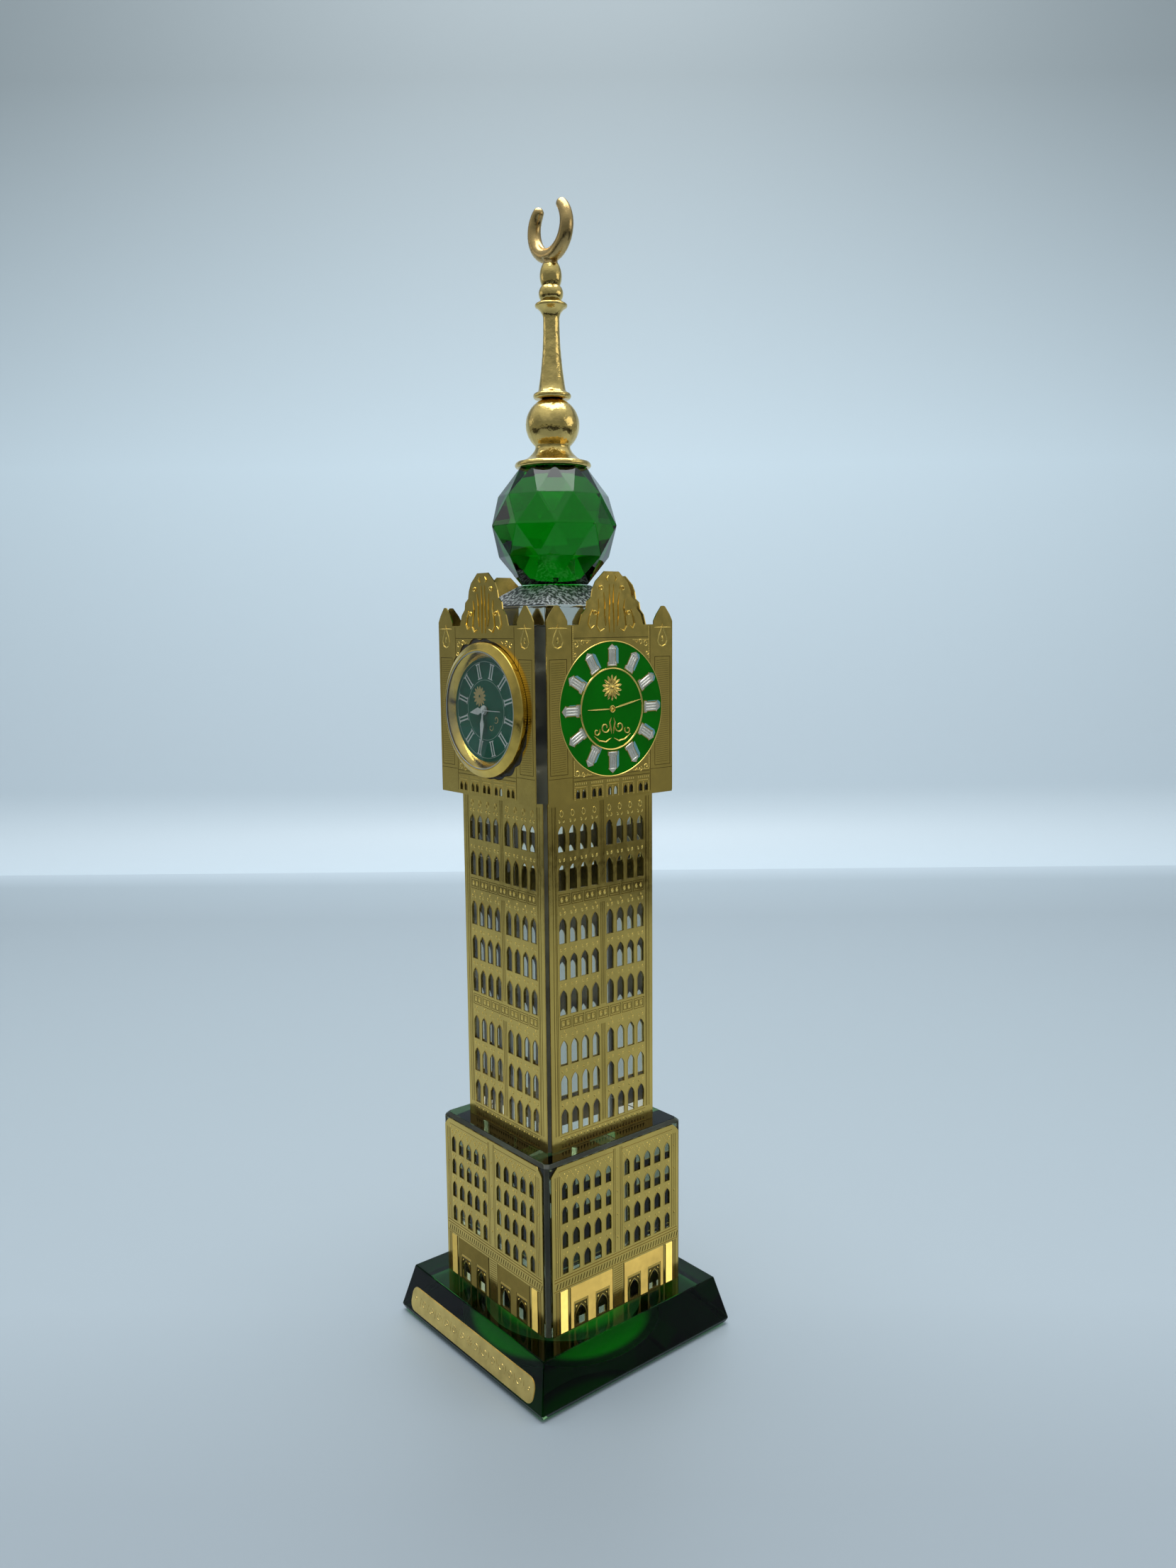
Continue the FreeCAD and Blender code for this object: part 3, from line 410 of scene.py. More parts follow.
def arc(p0, middle, p1, count):
    """Points of the circular arc from p0 through middle to p1, without p0."""
    (ax, ay), (bx, by), (cx, cy) = p0, middle, p1
    d = 2 * (ax * (by - cy) + bx * (cy - ay) + cx * (ay - by))
    a2, b2, c2 = ax * ax + ay * ay, bx * bx + by * by, cx * cx + cy * cy
    ox = (a2 * (by - cy) + b2 * (cy - ay) + c2 * (ay - by)) / d
    oy = (a2 * (cx - bx) + b2 * (ax - cx) + c2 * (bx - ax)) / d
    start = math.atan2(ay - oy, ax - ox)
    sweep = math.atan2(cy - oy, cx - ox) - start
    mid = math.atan2(by - oy, bx - ox) - start
    turn = 2 * math.pi
    sweep, mid = sweep % turn, mid % turn
    if mid > sweep:
        sweep -= turn
    radius = math.hypot(ax - ox, ay - oy)
    angles = [start + sweep * k / count for k in range(1, count + 1)]
    return [(ox + radius * math.cos(a), oy + radius * math.sin(a)) for a in angles]


def curve_profile(steps, count):
    """Profile points from steps: a point, or (middle, end) for an arc."""
    points = [steps[0]]
    for step in steps[1:]:
        if isinstance(step[0], tuple):
            points += arc(points[-1], step[0], step[1], count)
        else:
            points.append(step)
    return points


# ---------- flat outlines
def circle_angles(count):
    return [2 * math.pi * k / count for k in range(count)]


def box_loop(u0, z0, u1, z1):
    return [(u0, z0), (u1, z0), (u1, z1), (u0, z1)]


def circle_loop(u, z, radius, count):
    return [(u + radius * math.cos(a), z + radius * math.sin(a)) for a in circle_angles(count)]


def arch_loop(u, sill, width, height, grow=0.0):
    """Pointed arch; grow widens it all round."""
    half = width / 2 + grow
    sill, height = sill - grow, height + 2.2 * grow
    width = 2 * half
    spring = sill + height - 0.8 * width
    apex = (u, sill + height)
    right, left = (u + half, spring), (u - half, spring)
    bow = 0.62 * half
    rise = 0.48 * width
    loop = [(u - half, sill), (u + half, sill), right]
    loop += arc(right, (u + bow, spring + rise), apex, 4)
    loop += arc(apex, (u - bow, spring + rise), left, 4)
    return loop


def leaf_loop(u, z, width, height, tilt=0.0):
    """Small pointed leaf."""
    c, s = math.cos(tilt), math.sin(tilt)
    loop = []
    for a in circle_angles(8):
        x = 0.5 * width * math.sin(a) * abs(math.sin(a)) ** 0.3
        y = -0.5 * height * math.cos(a)
        loop.append((u + x * c - y * s, z + x * s + y * c))
    return loop


def ribbon_loop(path, width):
    """Band along a path, tapering to both ends."""
    left, right = [], []
    last = len(path) - 1
    for k, (x, y) in enumerate(path):
        px, py = path[max(0, k - 1)]
        nx, ny = path[min(last, k + 1)]
        length = math.hypot(nx - px, ny - py) or 1
        half = 0.5 * width * (0.25 + 0.75 * math.sin(math.pi * k / last))
        ox, oy = -(ny - py) / length * half, (nx - px) / length * half
        left.append((x + ox, y + oy))
        right.append((x - ox, y - oy))
    return left + right[::-1]


def scroll_path(u, z, radius, turns, start_deg, hand=1, count=18):
    """Spiral that winds in to its centre."""
    path = []
    for k in range(count + 1):
        share = k / count
        a = math.radians(start_deg) + hand * 2 * math.pi * turns * share
        r = radius * (1 - 0.72 * share)
        path.append((u + r * math.cos(a), z + r * math.sin(a)))
    return path


def petal_loops(u, z, inner, outer, count, width):
    """Rosette of leaf petals round a centre."""
    loops = []
    middle, length = (inner + outer) / 2, outer - inner
    for a in circle_angles(count):
        loops.append(leaf_loop(u + middle * math.sin(a), z + middle * math.cos(a), width, length, -a))
    return loops


def ccw(loop):
    """The loop turned so that it runs counter-clockwise."""
    area = sum(a[0] * b[1] - b[0] * a[1] for a, b in zip(loop, loop[1:] + loop[:1]))
    return loop if area > 0 else loop[::-1]


# ---------- layered sheet relief
def layered(part, regions, key="brass"):
    """Adds a flat piece made of regions (loop, lift, key) to part; later regions win.

    lift is the height of that region's face above the back plane, None is an opening.
    """
    verts, faces = [], []
    for loop, *_ in regions:
        start = len(verts)
        verts += [Vector(p) for p in ccw(loop)]
        faces.append(list(range(start, len(verts))))
    flat, _, cells, _, _, origin = delaunay_2d_cdt(verts, [], faces, 1, 1e-4)
    lifts, keys, kept = [], [], []
    for cell, sources in zip(cells, origin):
        if not sources:
            continue
        region = regions[max(sources)]
        if region[1] is None:
            continue
        kept.append(list(cell))
        lifts.append(region[1])
        keys.append(region[2] if len(region) > 2 else key)
    beside = {}
    for index, cell in enumerate(kept):
        for a, b in zip(cell, cell[1:] + cell[:1]):
            beside[(a, b)] = index
    points, out = {}, []

    def vertex(i, lift):
        spot = (i, round(lift, 4))
        if spot not in points:
            points[spot] = len(out)
            out.append(part.place(flat[i][0], flat[i][1], lift))
        return points[spot]

    groups = {}
    for index, cell in enumerate(kept):
        lift, use = lifts[index], keys[index]
        mine = groups.setdefault(use, [])
        mine.append([vertex(i, lift) for i in cell])
        mine.append([vertex(i, 0.0) for i in reversed(cell)])
        for a, b in zip(cell, cell[1:] + cell[:1]):
            other = beside.get((b, a))
            floor = 0.0 if other is None else lifts[other]
            if floor < lift - 1e-6:
                mine.append([vertex(b, lift), vertex(a, lift), vertex(a, floor), vertex(b, floor)])
    for use, mine in groups.items():
        part.add(out, mine, use)


def dome(part, loop, rise):
    """Low faceted boss on an outline."""
    loop, place, lift = ccw(loop), part.place, part.face
    cu = sum(p[0] for p in loop) / len(loop)
    cz = sum(p[1] for p in loop) / len(loop)
    inner = [(cu + 0.55 * (u - cu), cz + 0.55 * (z - cz)) for u, z in loop]
    count = len(loop)
    verts = [place(u, z, lift - 0.01) for u, z in loop]
    verts += [place(u, z, lift + 0.75 * rise) for u, z in inner]
    verts.append(place(cu, cz, lift + rise))
    faces = []
    for k in range(count):
        j = (k + 1) % count
        faces.append([k, j, count + j, count + k])
        faces.append([count + k, count + j, 2 * count])
    part.add(verts, faces, part.line)


def ridge(part, path, width, rise, lift=None, key=None, closed=False):
    """Half-round raised line along a path, tapering at its ends unless it is closed."""
    lift = part.face if lift is None else lift
    last = len(path) - 1
    across = ((-1.0, 0.0), (-0.6, 0.75), (0.0, 1.0), (0.6, 0.75), (1.0, 0.0))
    verts, faces = [], []
    for k, (x, y) in enumerate(path):
        px, py = path[k - 1] if closed else path[max(0, k - 1)]
        nx, ny = path[(k + 1) % len(path)] if closed else path[min(last, k + 1)]
        length = math.hypot(nx - px, ny - py) or 1
        share = 1 if closed else min(1, 0.3 + 2.2 * math.sin(math.pi * k / last))
        ox, oy = (ny - py) / length, -(nx - px) / length
        for side, up in across:
            half = 0.5 * width * share * side
            height = rise * up * (0.4 + 0.6 * share)
            verts.append(part.place(x - ox * half, y - oy * half, lift - 0.01 + height))
    size = len(across)
    for k in range(last + 1 if closed else last):
        a, b = k * size, (k + 1) % len(path) * size
        for i in range(size - 1):
            faces.append([a + i, b + i, b + i + 1, a + i + 1])
    part.add(verts, faces, key or part.line)


def grooves(part, u0, z0, u1, z1, pitch, height, key, skip=()):
    """Level saw-tooth ridges over a rectangle, broken where a skip box (u0, z0, u1, z1) lies."""
    rows = int((z1 - z0) / pitch)
    for row in range(rows):
        z = z0 + row * pitch
        gaps = sorted((a, c) for a, b, c, d in skip if b - pitch < z < d)
        starts = [u0] + [c for _, c in gaps]
        ends = [a for a, _ in gaps] + [u1]
        for a, b in zip(starts, ends):
            if b - a < 0.2:
                continue
            profile = ((0, 0), (0.15 * pitch, height), (pitch, 0))
            verts = [part.place(u, z + dz, part.face + up) for dz, up in profile for u in (a, b)]
            part.add(verts, [[0, 1, 3, 2], [2, 3, 5, 4]], key)


def beads(part, p0, p1, pitch, radius, rise):
    """Row of small studs between two points."""
    (u0, z0), (u1, z1) = p0, p1
    count = max(1, round(math.hypot(u1 - u0, z1 - z0) / pitch))
    for k in range(count + 1):
        share = k / count
        dome(part, circle_loop(u0 + share * (u1 - u0), z0 + share * (z1 - z0), radius, 6), rise)


# ---------- etched sheets
FACE = SHEET
FRAME = SHEET + 0.06
ETCHED = SHEET - 0.1


def etched(*box):
    """Region of a box etched into the sheet."""
    return box_loop(*box), ETCHED, "etch"


def window(u, sill, width, height, frame_width):
    """Regions of an arched opening in its raised frame."""
    return [(arch_loop(u, sill, width, height, frame_width), FRAME),
            (arch_loop(u, sill, width, height), None)]


def finish_sheet(part, regions, bosses, kind, side):
    layered(part, regions)
    for loop in bosses:
        dome(part, loop, 0.2)
    part.build(f"{kind}_sheet_{side}", "tower", "etched_brass", f"{kind}_panel_{side}")


def podium_sheet(side, turns):
    half, foot, top = PODIUM_SHEET_HALF, BASE_TOP + 0.02, PODIUM_SHEET_TOP
    cut, ground_foot, ground_top = 2.2, foot + 0.3, 26.3
    bay = 10.75
    outline = [(-half, foot), (half, foot), (half, top - cut)]
    outline += arc((half, top - cut), (half - 0.45 * cut, top - 0.45 * cut), (half - cut, top), 4)
    outline += [(cut - half, top)]
    outline += arc((cut - half, top), (0.45 * cut - half, top - 0.45 * cut), (-half, top - cut), 4)
    regions = [(outline, FACE)]
    part = Part(on_face(PODIUM_HALF, turns), FACE)
    bosses = []
    columns = (-7.45, -3.75, 0.0, 3.75, 7.45)
    sills = (30.6, 37.7, 44.5, 51.1)
    window_height = 4.7
    # frieze
    for z in (28.95, 29.75):
        regions.append(etched(-half + 0.6, z, half - 0.6, z + 0.2))
    for k in range(44):
        u = -half + 1.1 + k
        regions.append(([(u, 26.95), (u + 0.3, 26.95), (u + 0.75, 28.5), (u + 0.45, 28.5)], ETCHED, "etch"))
    regions.append(etched(-half + 0.4, 26.5, half - 0.4, 26.66))
    # ground floor: grooved pilasters, hatched walls and framed doors
    for s in (-1, 1):
        inner, outer = sorted((s * 17.65, s * 20.05))
        # pilaster ridges in the brighter brass: painted highlight
        grooves(part, inner, ground_foot, outer, ground_top, 0.33, 0.22, "raised")
        inner, outer = sorted((s * 2.15, s * 16.6))
        doors = [(s * u - 2.45, foot, s * u + 2.45, 21.4) for u in (5.7, 13.2)]
        # hatched wall grooves in the darker brass: painted shade
        grooves(part, inner, ground_foot, outer, ground_top, 0.33, 0.182, "hatched", doors)
        for u in (1.95, 16.85, 17.45, 20.25, 21.4):
            regions.append(etched(s * u - 0.09, foot + 0.2, s * u + 0.09, ground_top))
        inner, outer = sorted((s * 20.45, s * 21.2))
        for k in range(24):
            z = 14.6 + 0.49 * k
            regions.append(etched(inner, z, outer, z + 0.2))
    for k in range(18):
        z = 14.8 + 0.64 * k
        regions.append(([(-1.5, z), (1.5, z + 0.2), (1.5, z + 0.34), (-1.5, z + 0.14)], ETCHED, "etch"))
    door_foot = 14.4
    for u in (-13.2, -5.7, 5.7, 13.2):
        regions.append((box_loop(u - 2.35, door_foot, u + 2.35, 21.2), FRAME))
        regions.append(etched(u - 2.1, door_foot, u + 2.1, 20.95))
        regions += window(u, 14.6, 3.7, 5.5, 0.28)
        for side_sign in (-1, 1):
            bosses.append(leaf_loop(u + 1.5 * side_sign, 20.0, 0.6, 0.9, 0.6 * side_sign))
    # centre and side pilasters
    for u in (-1.55, -1.0, 0.85, 1.4):
        regions.append(etched(u, 30.3, u + 0.15, top - 0.6))
    for u in (19.95, 20.6, 21.3):
        for s in (-1, 1):
            regions.append(etched(s * u - 0.08, 30.3, s * u + 0.08, top - 2.6))
    for z in (34.5, 41.0, 47.6, 54.2):
        for u in (-0.1, -20.95, 20.95):
            bosses.append(leaf_loop(u, z, 0.5, 0.8))
    # windows with bosses over each
    for group in (-bay, bay):
        for column, offset in enumerate(columns):
            u = group + offset
            width = 1.9 if column in (0, 4) else 2.3
            for sill in sills:
                regions += window(u, sill, width, window_height, 0.2)
                apex = sill + window_height
                for s in (-1, 1):
                    bosses.append(leaf_loop(u + 0.62 * s, apex + 0.85, 0.5, 0.85, -0.5 * s))
            for k, (du, dz) in enumerate(((-0.9, 1.9), (0.9, 1.9), (-1.5, 2.8), (0, 2.7), (1.5, 2.8))):
                bosses.append(leaf_loop(u + du, apex + dz - 0.6, 0.55, 0.75, 0.7 * (-1) ** k))
        regions.append(etched(group - 9.4, 59.0, group + 9.4, 59.12))
    finish_sheet(part, regions, bosses, "podium", side)


def shaft_sheet(side, turns):
    half, foot, top = SHAFT_SHEET_HALF, PODIUM_TOP + 0.02, SHAFT_SHEET_TOP
    regions = [(box_loop(-half, foot, half, top), FACE)]
    part = Part(on_face(SHAFT_HALF, turns), FACE)
    bosses = []
    columns = [s * u for s in (-1, 1) for u in (2.55, 6.2, 9.85, 13.45)]
    width, height = 2.4, 6.8
    sills = (65.8, 75.0, 84.4, 98.0, 107.4, 117.1, 131.0, 141.1)
    for z0, z1 in ((66.0, 92.9), (98.4, 126.1), (131.2, 153.4)):
        for u in (-0.62, -0.2, 0.22, 0.64):
            regions.append(etched(u - 0.07, z0, u + 0.07, z1))
    for u in (15.35, 15.75, 16.5):
        for s in (-1, 1):
            regions.append(etched(s * u - 0.08, 65.6, s * u + 0.08, 152.9))
    for foot_z in (94.3, 127.15):
        for k in range(7):
            u = (k - 3) * 4.28
            regions.append(etched(u - 1.92, foot_z, u + 1.92, foot_z + 3.0))
            regions.append((box_loop(u - 1.76, foot_z + 0.16, u + 1.76, foot_z + 2.84), FACE))
            for mid in (u - 0.8, u + 0.8):
                regions.append(etched(mid - 0.7, foot_z + 0.55, mid + 0.7, foot_z + 2.45))
                regions.append((box_loop(mid - 0.54, foot_z + 0.71, mid + 0.54, foot_z + 2.29), FACE))
                bosses.append([(mid, foot_z + 0.8), (mid + 0.5, foot_z + 1.5), (mid, foot_z + 2.2),
                               (mid - 0.5, foot_z + 1.5)])
    for k in range(28):
        u = -14.3 + 1.06 * k
        regions.append(([(u - 0.34, 61.9), (u + 0.34, 61.9), (u, 63.1)], ETCHED, "etch"))
        bosses.append(leaf_loop(u, 64.2, 0.5, 0.8, 0.5 if k % 2 else -0.5))
    regions.append(etched(-15, 65.05, 15, 65.18))
    for row, sill in enumerate(sills):
        apex = sill + height
        for u in columns:
            regions += window(u, sill, width, height, 0.18)
            for s in (-1, 1):
                bosses.append(leaf_loop(u + 0.72 * s, apex + 1.15, 0.7, 1.1, -0.35 * s))
            if row in (2, 5):
                bosses.append(leaf_loop(u + 0.25, apex + 2.3, 0.6, 0.85, 0.5))
            if row == 7:
                ridge(part, leaf_loop(u, apex + 3.1, 1.1, 1.7), 0.26, 0.12, closed=True)
    finish_sheet(part, regions, bosses, "shaft", side)


GABLE = ((10.7, 198.5), (9.8, 201.2), (8.4, 202.6), (8.1, 204.4), (6.7, 205.4), (6.3, 207.4),
         (5.3, 209.3), (3.2, 211.1), (2.4, 211.8))
MERLON = ((0, 199.4), (0.15, 201.1), (0.42, 203.25), (0.5, 203.3), (0.58, 203.25), (0.85, 201.1),
          (1, 199.4))
MERLON_WIDTH = 6.6


def head_outline():
    half = HEAD_SHEET_HALF
    right = [(half - share * MERLON_WIDTH, z) for share, z in MERLON]
    right += [(half - MERLON_WIDTH, GABLE[0][1])] + list(GABLE)
    left = [(-u, z) for u, z in reversed(right)]
    return [(-half, HEAD_SHEET_FOOT), (half, HEAD_SHEET_FOOT)] + right + left


def both_sides(paths):
    """Paths with their mirror images about u = 0."""
    return paths + [([(-u, z) for u, z in path], width) for path, width in paths]


def gable_scrolls():
    """Abstract scrollwork that fills the gable: (path, width) lines."""
    return both_sides([
        ([(0.75, 196.6), (0.8, 200.0), (0.6, 204.0), (0.75, 208.6)], 0.5),
        ([(1.9, 198.2), (2.3, 200.6), (2.2, 203.6), (2.6, 206.6)], 0.48),
        ([(2.6, 197.6), (4.0, 196.9), (4.9, 198.2), (4.6, 200.6), (4.1, 202.6), (4.4, 204.9)], 0.46),
        ([(5.9, 198.4), (7.0, 197.6), (7.7, 198.8), (7.2, 200.8), (6.4, 202.4)], 0.44),
        (scroll_path(5.6, 201.4, 0.75, 1, 0, 1, 10), 0.4),
        (scroll_path(3.6, 207.6, 0.75, 1, 180, -1, 10), 0.4),
        ([(1.2, 209.4), (1.7, 210.1), (1.2, 210.8)], 0.4)])


def corner_filigree():
    """Small scrolls in the corner between the dial and its square: (path, width) lines."""
    paths = []
    for z, flip in ((193.6, 1), (161.6, -1)):
        paths.append((scroll_path(11.7, z, 0.85, 1, 90 * flip, flip, 10), 0.3))
        paths.append((scroll_path(9.6, z + 0.6 * flip, 0.7, 1, -90 * flip, flip, 10), 0.28))
        paths.append((scroll_path(12.1, z - 2.4 * flip, 0.6, 1, 0, -flip, 10), 0.28))
        paths.append(([(7.6, z + 0.9 * flip), (8.4, z + 0.3 * flip), (8.9, z + 1.1 * flip)], 0.26))
        paths.append(([(12.5, z - 3.6 * flip), (12.1, z - 4.4 * flip), (12.5, z - 5.2 * flip)], 0.26))
    return both_sides(paths)


def teardrop(u):
    right = [(u, 198.6), (u + 0.45, 197.2), (u + 1.25, 195.6), (u + 1.6, 194.3), (u + 1.1, 193.2),
             (u, 192.8)]
    return right + [(2 * u - x, z) for x, z in right[-2:0:-1]]


def head_sheet(side, turns):
    has_clock = side == "front"
    regions = [(head_outline(), FACE)]
    part = Part(on_face(HEAD_HALF, turns), FACE)
    # border of the gable, pilasters with fine hatching
    square_half, gable_foot, line = 12.9, 195.2, 0.16
    loggia_foot, loggia_top = 155.0, 158.0
    studs = (0.45, 0.16, 0.09)
    regions.append(etched(-square_half, gable_foot, square_half, gable_foot + line))
    for s in (-1, 1):
        regions.append(etched(s * 13.1 - 0.08, loggia_foot, s * 13.1 + 0.08, 198.2))
        inner, outer = sorted((s * 14.7, s * 20.3))
        regions.append(etched(inner, 161.5, outer, 190.2))
        regions.append((box_loop(inner + 0.16, 161.66, outer - 0.16, 190.04), FACE))
        line_start, line_end = sorted((s * 13.3, s * 20.9))
        regions.append(etched(line_start, 160.6, line_end, 160.74))
        for k in range(48):
            z = 162.3 + 0.57 * k
            regions.append(([(inner + 0.6, z), (outer - 0.6, z + 0.2), (outer - 0.6, z + 0.28),
                             (inner + 0.6, z + 0.08)], FACE - 0.04, "etch"))
        u = s * 17.5
        bar = [(u - 3.0, 197.7), (u - 1.5, 197.75), (u + 1.5, 197.75), (u + 3.0, 197.7)]
        ridge(part, bar, 0.34, 0.14)
        ridge(part, teardrop(u), 0.36, 0.15, closed=True)
        dome(part, leaf_loop(u, 194.8, 1.0, 1.7), 0.12)
    for z in (159.45, 160.35):
        regions.append(etched(-square_half, z, square_half, z + line))
    # loggia of five paired openings with beaded frames and a row of studs
    for pair in range(-2, 3):
        centre = 5.3 * pair
        for s in (-1, 1):
            regions += window(centre + s, 155.2, 1.2, 2.2, 0.16)
        for u0, z0, u1, z1 in ((-1.95, 154.9, -1.95, loggia_top), (1.95, 154.9, 1.95, loggia_top),
                               (-1.95, loggia_top, 1.95, loggia_top), (0, loggia_foot, 0, 157.4)):
            beads(part, (centre + u0, z0), (centre + u1, z1), 0.42, 0.15, 0.08)
        for k in range(6):
            stud = box_loop(centre - 1.9 + 0.7 * k, 158.6, centre - 1.6 + 0.7 * k, 159.1)
            dome(part, stud, 0.1)
    if has_clock:
        regions.append((scalloped_hole(), None))
    else:
        for s in (-1, 1):
            for u0, z0, u1, z1 in ((12.7, 161.2, 12.7, 164.6), (12.7, 190.0, 12.7, 198.0),
                                   (7.2, 194.6, 12.4, 194.6), (7.2, 160.9, 12.4, 160.9)):
                beads(part, (s * u0, z0), (s * u1, z1), *studs)
        regions.append((circle_loop(0, DIAL_Z, ENAMEL_RADIUS, 128), ETCHED))
    layered(part, regions)
    for path, width in gable_scrolls():
        ridge(part, path, 0.95 * width, 0.36)
    u0, z0, reach = (CLOCK_X, CLOCK_Z, BEZEL_RADIUS + 1.1) if has_clock else (0, DIAL_Z, ENAMEL_RADIUS + 0.2)
    for path, width in corner_filigree():
        if all(math.hypot(u - u0, z - z0) > reach for u, z in path):
            ridge(part, path, width, 0.12)
    part.build(f"head_sheet_{side}", "tower", "etched_brass", f"head_panel_{side}")


# ---------- enamel dial of the sheets
HOURS = [math.radians(30 * k) for k in range(12)]


def marker_outline(grow):
    """Column marker with a pointed outer end, along +Y at its radius."""
    w = 1.55 + grow
    return [(-w, 10.9 - grow), (w, 10.9 - grow), (w, 11.8), (w - 0.35, 12.1), (w - 0.35, 15.0),
            (w - 0.1, 15.3), (0.75, 15.9), (0, 16.5 + grow), (-0.75, 15.9), (0.1 - w, 15.3),
            (0.35 - w, 15.0), (0.35 - w, 12.1), (-w, 11.8)]


def turned_loop(loop, angle, du=0.0, dz=0.0):
    c, s = math.cos(angle), math.sin(angle)
    return [(u * c + z * s + du, -u * s + z * c + dz) for u, z in loop]


def enamel_dial(side, turns):
    """Green enamel with gold rims, twelve silver columns, two hands and a rosette."""
    def place(u, z, lift):
        return quarter((u, -HEAD_HALF - SHEET + 0.1 - lift, DIAL_Z + z), turns)

    fill, gold = 0.06, 0.12
    part = Part(place, fill)
    regions = [(circle_loop(0, 0, ENAMEL_RADIUS - 0.03, 128), gold, "brass"),
               (circle_loop(0, 0, ENAMEL_RADIUS - 0.35, 128), fill, "enamel")]
    for angle in HOURS:
        shadow = [(-1.2, 11.2), (1.2, 11.2), (1.2, 15.0), (0.6, 15.7), (-0.6, 15.7), (-1.2, 15.0)]
        regions.append((turned_loop(shadow, angle, 1.0, 0.3), fill + 0.012, "print_blue"))
    for angle in HOURS:
        regions.append((turned_loop(marker_outline(0.1), angle), gold, "brass"))
        regions.append((turned_loop(marker_outline(-0.12), angle), gold + 0.02, "silver"))
    layered(part, regions)
    ridge(part, circle_loop(0, 0, ENAMEL_RADIUS - 0.2, 128), 0.3, 0.1, gold, closed=True)
    ridge(part, circle_loop(0, 0, 10.35, 96), 0.5, 0.22, closed=True)
    for angle in HOURS:
        for x in (-0.72, 0.0, 0.72):
            path = turned_loop([(x, 11.4), (x, 12.4), (x, 14.2), (x, 15.3)], angle)
            ridge(part, path, 0.5, 0.2, gold, "silver")
        for y, reach in ((11.15, 1.35), (15.35, 1.05)):
            path = turned_loop([(-reach, y), (-0.4, y), (0.4, y), (reach, y)], angle)
            ridge(part, path, 0.4, 0.16, gold, "silver")
    for loop in petal_loops(0, 5.4, 0.4, 3.4, 14, 1.0):
        dome(part, loop, 0.22)
    dome(part, circle_loop(0, 5.4, 0.8, 16), 0.3)
    for path, width in both_sides([(scroll_path(2.4, -4.6, 1.5, 1.1, 180), 0.42),
                                   (scroll_path(5.2, -5.6, 1.1, 1.0, 140), 0.4),
                                   ([(0.4, -7.4), (2.2, -8.3), (4.3, -7.9), (6.2, -6.6)], 0.5),
                                   ([(0.35, -2.2), (0.9, -3.4), (0.5, -5.0), (0.3, -6.4)], 0.42)]):
        ridge(part, path, width, 0.2)
    for reach, degrees in ((8.2, -90), (10.1, 78)):
        path = turned_loop([(0, 0), (0, 0.3 * reach), (0, 0.7 * reach), (0, reach)], math.radians(degrees))
        ridge(part, path, 0.5, 0.26)
    ridge(part, circle_loop(0, 0, 0.8, 24), 0.4, 0.34, closed=True)
    dome(part, circle_loop(0, 0, 0.5, 12), 0.3)
    part.build(f"enamel_dial_{side}", "tower", "green_enamel", f"dial_enamel_{side}")


# ---------- glass blocks
def ground_corners(row, k):
    """Corner faces and the bevel of an eight-sided block are ground, the flats are polished."""
    return int(k % 2 == 0 or row > 0)


def stacked_block(name, rings, material, node, slot, bevel_mm, second="ground", choose=ground_corners,
                  top=None):
    """Closed block through rings of points; choose(row, k) picks the side faces of the second material."""
    verts = [p for ring in rings for p in ring]
    count = len(rings[0])
    faces = [list(reversed(range(count))), list(range(len(verts) - count, len(verts)))]
    for row in range(len(rings) - 1):
        for k in range(count):
            j = (k + 1) % count
            a, b = row * count, (row + 1) * count
            faces.append([a + k, a + j, b + j, b + k])
    kinds = [0, 2] + [choose(row, k) for row in range(len(rings) - 1) for k in range(count)]
    obj = make_object(name, verts, faces, [material, second, top or material], kinds)
    bevel(obj, bevel_mm, 2, 12)
    finish_piece(obj, "tower", slot, node)


GLUE_GAP = 0.03


def octagon(half, leg, z):
    flat = half - leg
    return [(flat, -half, z), (half, -flat, z), (half, flat, z), (flat, half, z),
            (-flat, half, z), (-half, flat, z), (-half, -flat, z), (-flat, -half, z)]


def square(half, z):
    return [(half, -half, z), (half, half, z), (-half, half, z), (-half, -half, z)]


